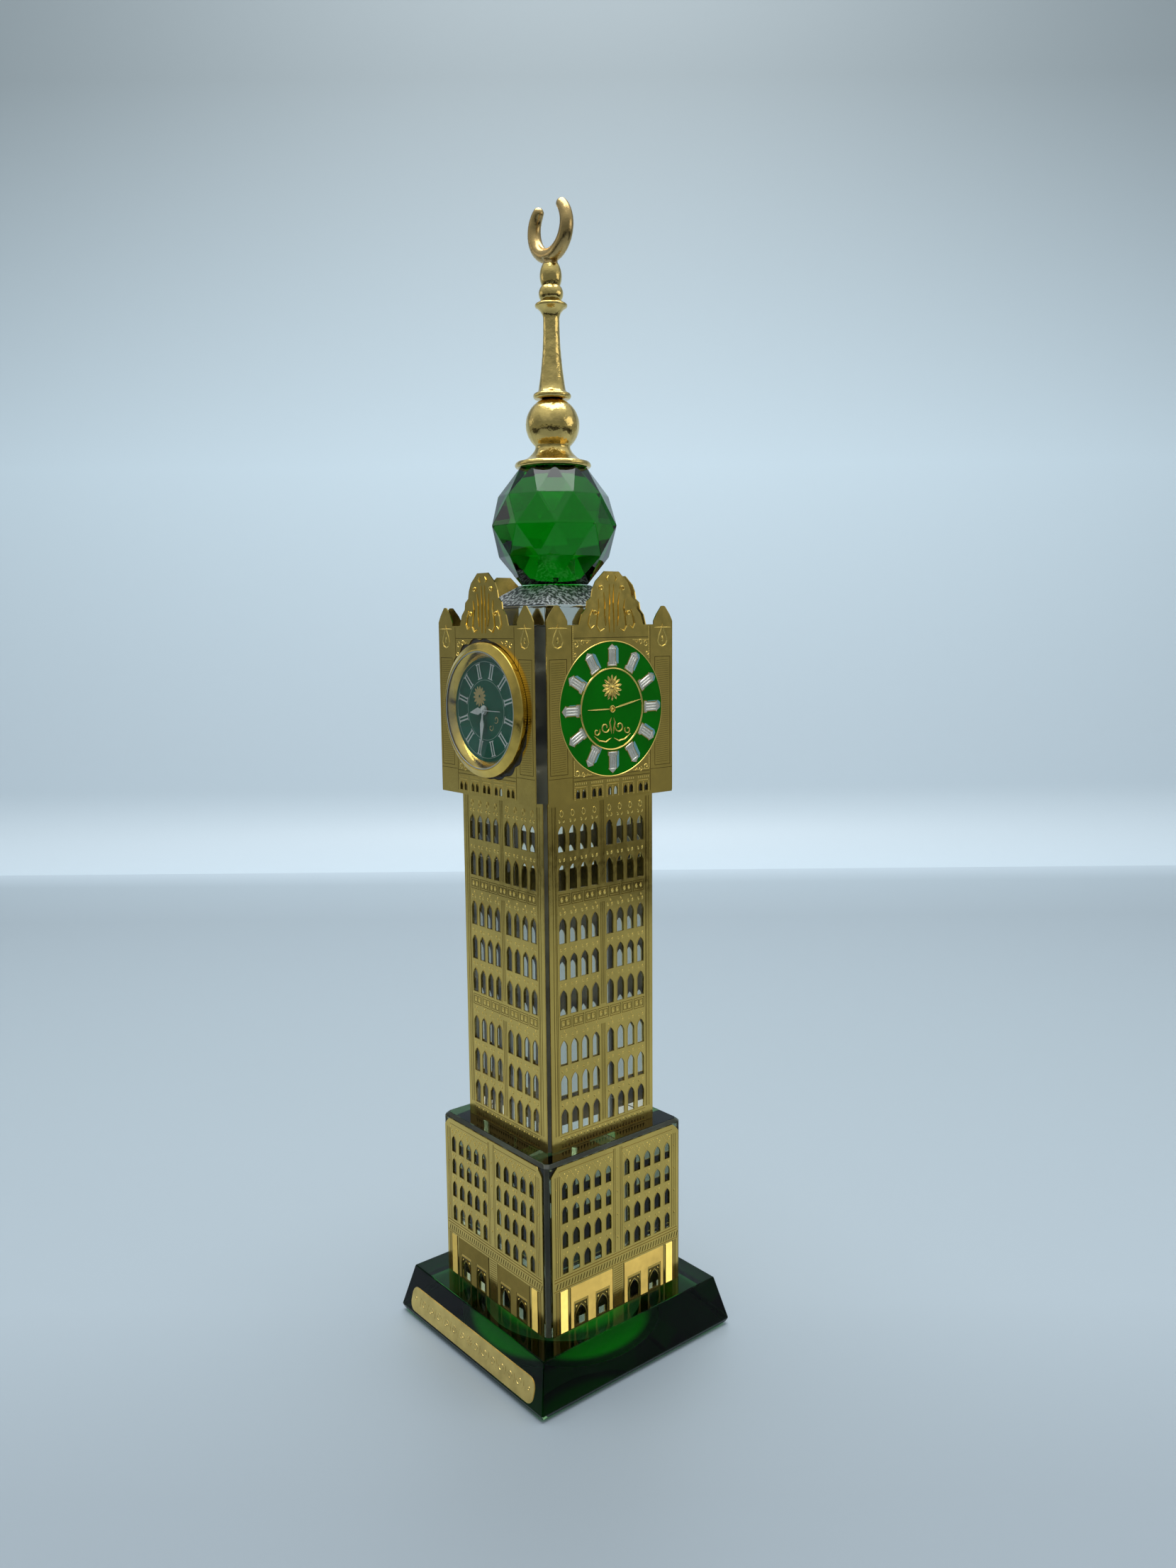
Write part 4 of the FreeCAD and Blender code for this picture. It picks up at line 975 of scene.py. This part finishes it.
def glass_blocks():
    inset = GLUE_GAP
    rings = [square(BASE_FOOT_HALF, BASE_FOOT_Z + inset), square(BASE_WIDEST, BASE_WIDEST_Z),
             square(BASE_TOP_HALF, BASE_TOP - inset)]
    # the base's foot band takes the dark opaque finish and its top face the darker top glass: both painted
    # shade
    stacked_block("base_glass", rings, "base", "base_block", "green_glass", 0.25, "edge",
                  lambda row, k: int(row == 0), "base_top")
    shoulder = PODIUM_TOP - PODIUM_BEVEL
    # the podium's top face takes the dark ledge glass, painted shade
    stacked_block("podium_glass", [octagon(PODIUM_HALF - inset, PODIUM_CORNER, BASE_TOP),
                                   octagon(PODIUM_HALF - inset, PODIUM_CORNER, shoulder),
                                   octagon(PODIUM_HALF - PODIUM_BEVEL, PODIUM_CORNER, PODIUM_TOP - inset)],
                  "podium", "podium_block", "clear_glass", 0.2, top="ledge")
    stacked_block("shaft_glass", [octagon(SHAFT_HALF - inset, SHAFT_CORNER, PODIUM_TOP),
                                  octagon(SHAFT_HALF - inset, SHAFT_CORNER, SHAFT_TOP - inset)],
                  "clear", "shaft_block", "clear_glass", 0.15)
    wall_top, round_top, slope_top = 203.3, 203.75, 205.75
    rings = [square(NECK_HALF, HEAD_TOP + 0.12), square(NECK_HALF, wall_top),
             square(NECK_HALF - 0.35, round_top), square(11.2, slope_top), square(6.7, NECK_TOP - inset)]
    stacked_block("neck_glass", rings, "neck", "neck_block", "clear_glass", 0.18, "crackle",
                  lambda row, k: int(row > 1))
    edge = BASE_WIDEST - 0.1
    chip = [(edge, -edge - 0.05, 1.9), (edge + 0.05, -edge + 1.1, 1.75), (edge - 0.1, -edge + 0.5, 0.9),
            (edge, -edge + 1.7, 1.2)]
    finish_piece(make_object("corner_chip", chip, [[0, 1, 2], [1, 3, 2]], ["chip"]), "tower", "green_glass")
    head_glass()


def head_glass():
    """Head block with its blind bore: the bore is part of the mesh."""
    inset = GLUE_GAP
    half, leg = HEAD_HALF - inset, HEAD_CORNER
    z0, z1 = SHAFT_TOP, HEAD_TOP - inset
    flat = half - leg
    rim = circle_loop(CLOCK_X, CLOCK_Z, BORE_RADIUS, 96)
    part = Part()
    outline = box_loop(-flat, z0, flat, z1)
    verts = [Vector(p) for p in outline + rim]
    loops = [list(range(4)), list(range(4, 4 + len(rim)))]
    points, _, cells, _, _, origin = delaunay_2d_cdt(verts, [], loops, 1, 1e-4)
    place = [(p[0], -half, p[1]) for p in points]
    part.add(place, [list(c) for c, o in zip(cells, origin) if o == [0]], "clear")
    depth = -half + BORE_DEPTH
    wall = [(x, -half, z) for x, z in rim] + [(x, depth, z) for x, z in rim]
    count = len(rim)
    part.add(wall, [[k, (k + 1) % count, count + (k + 1) % count, count + k] for k in range(count)]
             + [list(range(count, 2 * count))], "clear")
    ring0, ring1 = octagon(half, leg, z0), octagon(half, leg, z1)
    sides = [[k, (k + 1) % 8, 8 + (k + 1) % 8, 8 + k] for k in range(7)]
    part.add(ring0 + ring1, sides[1::2] + [list(reversed(range(8))), list(range(8, 16))], "clear")
    part.add(ring0 + ring1, sides[0::2], "ground")
    obj = part.build("head_glass", "tower", "clear_glass", "head_block")
    obj.modifiers.new("weld", "WELD").merge_threshold = 1e-6


def neck_film():
    """Mottled adhesive film under the neck."""
    half = NECK_HALF - 0.4
    rows = 24
    random.seed(5)
    verts, faces = [], []
    for layer in (0, 1):
        for i in range(rows + 1):
            for j in range(rows + 1):
                lift = 0.02 + (0.07 * random.random() if layer else 0)
                verts.append((half * (2 * i / rows - 1), half * (2 * j / rows - 1), HEAD_TOP + lift))
    size = (rows + 1) ** 2
    for i in range(rows):
        for j in range(rows):
            a = i * (rows + 1) + j
            faces.append([a, a + 1, a + rows + 2, a + rows + 1])
            faces.append([size + a, size + a + rows + 1, size + a + rows + 2, size + a + 1])
    obj = make_object("neck_film", verts, faces, ["crackle"], smooth=True)
    finish_piece(obj, "tower", "clear_glass")


def crystal_ball():
    sides = 10
    centre = (NECK_TOP + BALL_TOP) / 2
    rise = (BALL_TOP - NECK_TOP) / 2 - GLUE_GAP
    flat, slope, waist, slope_lift = 9.1, 14.6, 17.1, 7.85
    rows = ((flat, -rise, 0), (slope, -slope_lift, 0.5), (waist, 0, 0), (slope, slope_lift, 0.5),
            (flat, rise, 0))
    verts = []
    for radius, lift, shift in rows:
        for k in range(sides):
            a = 2 * math.pi * (k + shift) / sides
            verts.append((radius * math.cos(a), radius * math.sin(a), centre + lift))
    faces = [list(reversed(range(sides))), list(range(4 * sides, 5 * sides))]
    for row in range(4):
        a, b = row * sides, (row + 1) * sides
        for k in range(sides):
            j = (k + 1) % sides
            if rows[row][2] == 0:
                faces += [[a + k, a + j, b + k], [a + j, b + j, b + k]]
            else:
                faces += [[a + k, a + j, b + j], [a + k, b + j, b + k]]
    obj = make_object("faceted_ball", verts, faces, ["ball"])
    bevel(obj, 0.1, 1, 5)
    finish_piece(obj, "tower", "bright_green_glass", "crystal_ball")


def pad():
    """Round pad with a softened rim."""
    contact = BASE_FOOT_Z + GLUE_GAP + 0.03
    radius = 22.5
    profile = [(0.01, 0.0), (radius - 0.3, 0.0), (radius, 0.15), (radius, 0.35), (radius - 0.1, contact),
               (0.01, contact)]
    verts, faces = lathe_faces(profile, 96, closed=False)
    obj = make_object("round_pad", verts, faces, ["pad"])
    finish_piece(obj, "tower", "foam_pad", "base_pad")


# ---------- name plate
def name_plate():
    """Foil plate with a stepped border and plain scrollwork in place of lettering."""
    run, rise = BASE_WIDEST - BASE_TOP_HALF, BASE_TOP - BASE_WIDEST_Z
    length = math.hypot(run, rise)
    up, out = (run / length, rise / length), (-rise / length, run / length)
    centre_z = 5.7
    centre_y = -BASE_WIDEST + run * (centre_z - BASE_WIDEST_Z) / rise

    def place(u, v, lift):
        return (u, centre_y + v * up[0] + lift * out[0], centre_z + v * up[1] + lift * out[1])

    def rounded(half_u, half_v, radius):
        loop = []
        for su, sv, start in ((1, -1, -90), (1, 1, 0), (-1, 1, 90), (-1, -1, 180)):
            for k in range(7):
                a = math.radians(start + 15 * k)
                loop.append((su * (half_u - radius) + radius * math.cos(a),
                             sv * (half_v - radius) + radius * math.sin(a)))
        return loop

    thick = 0.2
    part = Part(place, thick, "foil")
    regions = [(rounded(29.3, 3.4, 2.5), 0.1), (rounded(29.1, 3.2, 2.35), thick)]
    layered(part, regions, "foil")
    scrolls = []
    for k in range(6):
        u = 3.3 + 3.9 * k
        flip = 1 if k % 2 else -1
        scrolls.append((scroll_path(u, 0.25 * flip, 1.2, 1.1, 180, flip, 14), 0.45))
        scrolls.append(([(u + 1.6, -1.1 * flip), (u + 2.0, 0), (u + 1.8, 1.2 * flip)], 0.4))
    for path, width in both_sides(scrolls):
        ridge(part, path, width, 0.14)
    for loop in petal_loops(0, 0, 0.2, 1.6, 8, 0.8):
        dome(part, loop, 0.14)
    for u in (-27.0, 27.0):
        ridge(part, circle_loop(u, 0.2, 0.38, 12), 0.24, 0.1, closed=True)
    part.build("foil_plate", "tower", "gold_foil", "name_plate")


# ---------- finial
def cast_piece(name, steps, node, count=10):
    verts, faces = lathe_faces(curve_profile(steps, count), 96, closed=False)
    obj = make_object(name, verts, faces, ["cast_gold"], smooth=True)
    split_edges(obj, 38)
    finish_piece(obj, "tower", "gold_plate", node)


def finial():
    foot, sphere_top, spire_top = BALL_TOP, 256.9, 290.4
    cast_piece("finial_flange", [(0.01, foot), (9.2, foot), ((9.9, 239.6), (9.85, 240.5)),
                                 ((9.6, 240.8), (9.0, 240.95)), ((6.3, 242.2), (4.65, 244.25)),
                                 ((4.6, 244.7), (4.66, 245.07)), ((7.04, 250.35), (2.58, sphere_top)),
                                 (0.01, sphere_top)], "finial_base", 16)
    cast_piece("finial_needle", [(0.01, sphere_top), (4.1, sphere_top), ((4.96, 257.65), (4.2, 258.5)),
                                 (3.58, 259.1), ((2.55, 267.0), (2.13, 276.6)), ((2.6, 278.6), (4.0, 279.9)),
                                 ((4.2, 280.35), (3.9, 280.8)), (2.6, 281.6), ((3.18, 283.4), (2.38, 285.2)),
                                 ((2.84, 287.75), (2.19, spire_top)), (0.01, spire_top)], "finial_spire")
    crescent()


def crescent():
    """Open ring with blunt round tips on a short stem."""
    radius, thick, tip, opening = 6.75, 1.95, 1.45, 46.0
    centre = 299.5
    rows, round_rows, around = 64, 6, 24
    span = 360 - 2 * opening
    stations = []
    for k in range(rows + 1):
        share = k / rows
        size = tip + (thick - tip) * math.sin(math.pi * share) ** 0.7
        stations.append((math.radians(opening + span * share), 0.0, size))
    turns = [math.radians(90 * k / round_rows) for k in range(1, round_rows + 1)]
    cap = [(tip * math.sin(a), tip * math.cos(a)) for a in turns]
    first, last = stations[0][0], stations[-1][0]
    stations = [(first, -ahead, max(size, 0.02)) for ahead, size in reversed(cap)] + stations
    stations += [(last, ahead, max(size, 0.02)) for ahead, size in cap]
    verts = []
    for angle, ahead, size in stations:
        out = (math.sin(angle), math.cos(angle))
        along = (math.cos(angle), -math.sin(angle))
        x, z = radius * out[0] + ahead * along[0], centre + radius * out[1] + ahead * along[1]
        for a in circle_angles(around):
            reach = size * math.cos(a)
            verts.append((x + reach * out[0], size * math.sin(a), z + reach * out[1]))
    faces = bands(len(stations), around)
    faces += [list(range(around)), list(reversed(range(len(verts) - around, len(verts))))]
    part = Part()
    part.add(verts, faces, "bronze")
    stem = curve_profile([(0.01, 290.42), (2.1, 290.42), ((1.85, 291.0), (2.4, 292.2)), (0.01, 292.6)], 6)
    part.add(*lathe_faces(stem, 48, closed=False), "bronze")
    part.build("crescent_ring", "tower", "bronze_gold", "crescent", smooth=True)


# ---------- clock insert
DIAL_BACK = -0.5
LENS_BACK, LENS_FRONT = 1.46, 2.19
HOUR_DEGREES, MINUTE_DEGREES, SECOND_DEGREES = 307, 231, 135


def clock_lathe(name, steps, material, slot, *nodes, closed=True):
    verts, faces = lathe_faces(curve_profile(steps, 6), 128, closed)
    obj = make_object(name, [on_clock(*v) for v in verts], faces, [material], smooth=True)
    split_edges(obj, 30)
    finish_piece(obj, "clock", slot, *nodes)


def turned_bezel():
    """Conical bezel whose side wall has a fine coin edge."""
    foot, crown = 0.02 - CLOCK_SEAT, 0.95
    teeth = 180
    wall = BEZEL_RADIUS
    steps = curve_profile([(15.45, foot), (wall - 0.02, foot), (wall, -0.25), (wall, 0.6), (wall, crown),
                           ((17.3, 1.18), (17.05, 1.29)), (15.55, 2.36), ((15.45, 2.4), (15.3, 2.38)),
                           (15.21, 2.3), (15.21, 2.21), (15.45, 2.21)], 4)
    verts, faces = lathe_faces(steps, 2 * teeth)
    count = len(steps)
    for row in range(0, 2 * teeth, 2):
        for i in (1, 2, 3):
            x, y, w = verts[row * count + i]
            shrink = 1 - 0.07 / wall
            verts[row * count + i] = (x * shrink, y * shrink, w)
    obj = make_object("turned_bezel", [on_clock(*v) for v in verts], faces, ["bezel_gold"], smooth=True)
    split_edges(obj, 25)
    finish_piece(obj, "clock", "gold_plate", "bezel")


def clock_shell():
    turned_bezel()
    steps = [(15.35, 1.44), (15.0, 1.44), ((13.95, 0.75), (13.1, -0.19)), (13.66, -0.19),
             (13.66, DIAL_BACK), (15.35, DIAL_BACK)]
    clock_lathe("polished_reflector", steps, "bezel_gold", "gold_plate", "reflector_ring")
    steps = [(0.01, LENS_BACK), (15.3, LENS_BACK), (15.38, 1.55), (15.38, 2.0), (14.8, LENS_FRONT),
             (0.01, LENS_FRONT)]
    clock_lathe("flat_lens", steps, "lens", "lens_glass", "lens", closed=False)
    steps = [(14.86, 2.2), (15.17, 2.14), (15.17, 2.24), (14.9, 2.27)]
    clock_lathe("lens_rim", steps, "rim", "lens_glass")


def clock_dial():
    """Green dial with two fine rings, twelve plain double bars and a small rosette."""
    def place(x, y, lift):
        return on_clock(x, y, DIAL_BACK + lift)

    part = Part(place)
    thick, line, mark = 0.3, 0.312, 0.33
    regions = [(circle_loop(0, 0, 13.6, 128), thick, "dial")]
    for radius in (12.2, 7.6):
        regions.append((circle_loop(0, 0, radius + 0.07, 96), line, "dial_line"))
        regions.append((circle_loop(0, 0, radius - 0.07, 96), thick, "dial"))
    for angle in HOURS:
        bars = [box_loop(0.45 * s - 0.2, 8.1, 0.45 * s + 0.2, 11.8) for s in (-1, 1)]
        bars += [box_loop(-0.95, y, 0.95, y + 0.22) for y in (8.0, 11.7)]
        for loop in bars:
            regions.append((turned_loop(loop, angle), mark, "hand"))
    for loop in petal_loops(0.6, 4.2, 0.3, 2.7, 14, 0.85):
        regions.append((loop, line, "train_brass"))
    scroll = ribbon_loop(scroll_path(1.5, -4.6, 1.0, 1, 180, 1, 12), 0.28)
    for loop in (scroll, [(-x, y) for x, y in reversed(scroll)]):
        regions.append((loop, line, "train_brass"))
    regions.append((circle_loop(0, 0, 0.95, 32), None))
    layered(part, regions, "dial")
    part.build("printed_dial", "clock", "dial_green", "dial_disc")


def clock_hand(name, outline, hub, w0, w1, clockwise_deg, body, node):
    """Flat hand with a round hub, between the levels w0 and w1."""
    angle = math.radians(clockwise_deg)

    def place(x, y, lift):
        return on_clock(x, y, w0 + lift)

    part = Part(place)
    thick = w1 - w0
    layered(part, [(turned_loop(outline, angle), thick), (circle_loop(0, 0, hub, 40), thick)], "hand")
    profile = [(0.01, w0 - 0.02), (0.82 * hub, w0 - 0.02), (0.82 * hub, w1 + 0.03), (0.6 * hub, w1 + 0.07),
               (0.01, w1 + 0.07)]
    verts, faces = lathe_faces(profile, 40, closed=False)
    part.add([on_clock(*v) for v in verts], faces, "hand")
    part.build(name, body, "silver_hand", node)


def clock_hands():
    leaf = [(-0.3, 0), (0.3, 0), (0.35, 1.2), (0.95, 2.6), (0.5, 4.4), (0, 6.1), (-0.5, 4.4), (-0.95, 2.6),
            (-0.35, 1.2)]
    dagger = [(-0.25, 0), (0.25, 0), (0.3, 2.0), (0.8, 3.6), (0.35, 7.0), (0.15, 8.0), (0.1, 11.1),
              (-0.1, 11.1), (-0.15, 8.0), (-0.35, 7.0), (-0.8, 3.6), (-0.3, 2.0)]
    needle = [(-0.35, -2.6), (0.35, -2.6), (0.12, 0), (0.08, 7.9), (-0.08, 7.9), (-0.12, 0)]
    clock_hand("leaf_hour_hand", leaf, 1.25, 0.25, 0.42, HOUR_DEGREES, "hour_arbor", "hour_hand")
    clock_hand("dagger_minute_hand", dagger, 1.0, 0.6, 0.78, MINUTE_DEGREES, "minute_arbor", "minute_hand")
    clock_hand("needle_second_hand", needle, 0.55, 0.98, 1.1, SECOND_DEGREES, "second_arbor", "second_hand")


HOLE_POINTS = 240


def bite(angle):
    """How deep the sheet's hole is nibbled at an angle: most at upper left and lower right."""
    upper_left = max(0.0, math.cos(angle - math.radians(128))) ** 4
    lower_right = 0.8 * max(0.0, math.cos(angle + math.radians(50))) ** 6
    return (upper_left + lower_right) * (0.9 + 1.1 * abs(math.sin(11 * angle)))


def scalloped_hole():
    loop = []
    for a in circle_angles(HOLE_POINTS):
        r = BEZEL_RADIUS + 0.08 + bite(a)
        loop.append((CLOCK_X + r * math.cos(a), CLOCK_Z + r * math.sin(a)))
    return loop


def hole_residue():
    """Dark adhesive that fills the nibbled edge of the sheet's hole."""
    random.seed(11)
    count, rows = HOLE_POINTS, 4
    verts, faces = [], []
    for a in circle_angles(count):
        reach = BEZEL_RADIUS + 0.08 + bite(a)
        if bite(a) > 0.3:
            reach += 0.25 * random.random()
        inner = BEZEL_RADIUS - 0.25
        for i in range(rows + 1):
            share = i / rows
            r = inner + (reach - inner) * share
            bulge = 0.05 + 0.33 * math.sin(math.pi * min(1, share + 0.15)) * (0.6 + 0.4 * random.random())
            lift = bulge if bite(a) > 0.3 else 0.02
            verts.append((CLOCK_X + r * math.cos(a), -HEAD_HALF - lift, CLOCK_Z + r * math.sin(a)))
    for k in range(count):
        a, b = k * (rows + 1), (k + 1) % count * (rows + 1)
        for i in range(rows):
            faces.append([a + i, a + i + 1, b + i + 1, b + i])
    obj = make_object("hole_residue", verts, faces, ["residue"], smooth=True)
    finish_piece(obj, "tower", "black_rubber")


# ---------- CAD nodes that stay, with finishes
FINISHES = {
    "gold": ["case_ring"],
    "rubber": ["grip_gasket"],
    "black": ["back_cover", "battery_hatch", "main_plate", "chip_cover"],
    "white": ["movement_holder", "gear_bridge", "rotor", "intermediate_wheel", "seconds_wheel",
              "third_wheel", "minute_wheel", "setting_knob"],
    "steel": ["battery_cell", "bridge_screws", "quartz_crystal", "stator", "coil_core"],
    "board": ["circuit_board"],
    "copper": ["drive_coil"],
    "train_brass": ["centre_wheel", "hour_wheel"],
}


def finish_cad_nodes():
    for key, nodes in FINISHES.items():
        for node in nodes:
            mesh = NODES[node].data
            mesh.materials.clear()
            mesh.materials.append(MATERIALS[key])


# ---------- stage, light and camera
VIEW_HEADING = math.radians(50.31)
FLOOR_SIDE = 540
WIDE_FROM = 150
WALL_SIDE = 1200
WALL_AT = 690
CURVE_AT = WALL_AT - 60


def sweep_material(name, axis, near, far, stops, glow=0.0):
    """Pale painted board whose tone changes along one axis from near to far, in mm; the tone changes are
    painted light and shade, and glow is painted light given off by the board.
    """
    surface = Surface(name, (0.55, 0.63, 0.68), Roughness=0.5, Emission_Strength=glow)
    split = surface.node("SeparateXYZ")
    surface.link(surface.coords, split, "Vector")
    span = surface.node("MapRange", From_Min=near * MM, From_Max=far * MM)
    surface.link(split.outputs[axis], span, "Value")
    tone = ramp(surface.tree, span.outputs["Result"], stops)
    surface.link(tone, surface.shader, "Base Color")
    surface.link(tone, surface.shader, "Emission Color")
    surface.bump(surface.noise(0.6, 3), 0.02)
    MATERIALS[name] = surface.material


def stage():
    """Pale floor that curves up into a wall behind the tower; its Y axis is the view's heading."""
    # the floor's tone is painted light and shade: darkest at the near end, lighter from the tower on,
    # brightest where it curves into the wall
    sweep_material("floor", "Y", -300, 690, [(0.0, (0.25, 0.285, 0.315)), (0.23, (0.315, 0.36, 0.395)),
                                             (0.31, (0.385, 0.44, 0.48)), (0.5, (0.37, 0.425, 0.46)),
                                             (0.78, (0.36, 0.41, 0.445)), (0.89, (0.42, 0.48, 0.52)),
                                             (0.94, (0.56, 0.63, 0.68))])
    # the wall's tone is painted light and shade, brightest partway up and darkest at the top, and it gives
    # off painted light
    sweep_material("wall", "Z", 0, 700, [(0.0, (0.57, 0.645, 0.695)), (0.15, (0.6, 0.68, 0.735)),
                                         (0.47, (0.66, 0.77, 0.84)), (0.9, (0.32, 0.37, 0.395))], 0.12)
    low_z = -0.02
    tee = [(-FLOOR_SIDE, -FLOOR_SIDE), (FLOOR_SIDE, -FLOOR_SIDE), (FLOOR_SIDE, WIDE_FROM),
           (WALL_SIDE, WIDE_FROM), (WALL_SIDE, CURVE_AT), (-WALL_SIDE, CURVE_AT), (-WALL_SIDE, WIDE_FROM),
           (-FLOOR_SIDE, WIDE_FROM)]
    pieces = [make_object("floor", [(x, y, low_z) for x, y in tee], [list(range(8))], ["floor"])]
    profile = [(CURVE_AT, low_z)] + arc((CURVE_AT, low_z), (WALL_AT - 17.6, 17.6), (WALL_AT, 60), 16)
    profile += [(WALL_AT, 400), (WALL_AT, 1000)]
    verts = [(x, y, z) for x in (-WALL_SIDE, WALL_SIDE) for y, z in profile]
    count = len(profile)
    faces = [[i, count + i, count + i + 1, i + 1] for i in range(count - 1)]
    pieces.append(make_object("wall", verts, faces, ["wall"], smooth=True))
    for piece in pieces:
        piece.rotation_euler.z = VIEW_HEADING


def area_light(name, place_mm, look_mm, size_mm, watts, color=(1, 1, 1)):
    data = bpy.data.lights.new(name, "AREA")
    data.shape = "RECTANGLE"
    data.size, data.size_y = size_mm[0] * MM, size_mm[1] * MM
    data.energy = watts
    data.color = color
    obj = bpy.data.objects.new(name, data)
    obj.location = Vector(place_mm) * MM
    obj.rotation_euler = (Vector(look_mm) - Vector(place_mm)).to_track_quat("-Z", "Y").to_euler()
    bpy.context.scene.collection.objects.link(obj)


def lights():
    """Soft room: dim near the horizon with a dark strip below it, bright overhead."""
    world = bpy.data.worlds.new("soft")
    bpy.context.scene.world = world
    world.use_nodes = True
    tree = world.node_tree
    split = tree.nodes.new("ShaderNodeSeparateXYZ")
    tree.links.new(tree.nodes.new("ShaderNodeTexCoord").outputs["Generated"], split.inputs["Vector"])
    scale = tree.nodes.new("ShaderNodeMath")
    scale.operation = "MULTIPLY_ADD"
    scale.inputs[1].default_value = 0.5
    scale.inputs[2].default_value = 0.5
    tree.links.new(split.outputs["Z"], scale.inputs[0])
    stops = [(0.0, (0.02, 0.02, 0.02)), (0.405, (0.02, 0.022, 0.024)), (0.423, (0.28, 0.315, 0.3)),
             (0.5, (0.2, 0.235, 0.245)), (0.6, (0.22, 0.255, 0.28)), (0.8, (0.48, 0.54, 0.58)),
             (1.0, (0.9, 1.0, 1.08))]
    background = tree.nodes["Background"]
    tree.links.new(ramp(tree, scale.outputs["Value"], stops), background.inputs["Color"])
    background.inputs["Strength"].default_value = 1.0
    area_light("top_box", (-100, 80, 1000), (-100, 80, 0), (800, 800), 8, (0.97, 0.99, 1.0))
    area_light("right_box", (555, 436, 395), (0, 0, 20), (460, 260), 0.42, (1.0, 0.98, 0.94))
    area_light("left_box", (-555, -436, 395), (0, 0, 20), (360, 200), 0.12, (1.0, 0.98, 0.94))


def camera():
    """Camera at the height of the head, looking slightly down."""
    data = bpy.data.cameras.new("camera")
    data.sensor_width = 36
    data.sensor_fit = "AUTO"
    data.lens = 27.35
    data.clip_start = 0.01
    obj = bpy.data.objects.new("camera", data)
    place = Vector((253.02, -198.99, 198.67))
    heading, pitch, roll = VIEW_HEADING, math.radians(-7.64), math.radians(-0.505)
    level = Vector((-math.sin(heading), math.cos(heading), 0))
    forward = level * math.cos(pitch) + Vector((0, 0, math.sin(pitch)))
    right = forward.cross(Vector((0, 0, 1))).normalized()
    up = right.cross(forward)
    right, up = (right * math.cos(roll) + up * math.sin(roll), up * math.cos(roll) - right * math.sin(roll))
    turn = Matrix((right, up, -forward)).transposed()
    obj.matrix_world = Matrix.Translation(place * MM) @ turn.to_4x4()
    bpy.context.scene.collection.objects.link(obj)
    bpy.context.scene.camera = obj


# ---------- build
glass_blocks()
neck_film()
crystal_ball()
pad()
name_plate()
finial()
for turns, side in enumerate(SIDES):
    podium_sheet(side, turns)
    shaft_sheet(side, turns)
    head_sheet(side, turns)
    if side != "front":
        enamel_dial(side, turns)
hole_residue()
clock_shell()
clock_dial()
clock_hands()
finish_cad_nodes()
stage()
lights()
camera()
bpy.context.scene.view_settings.view_transform = "Standard"
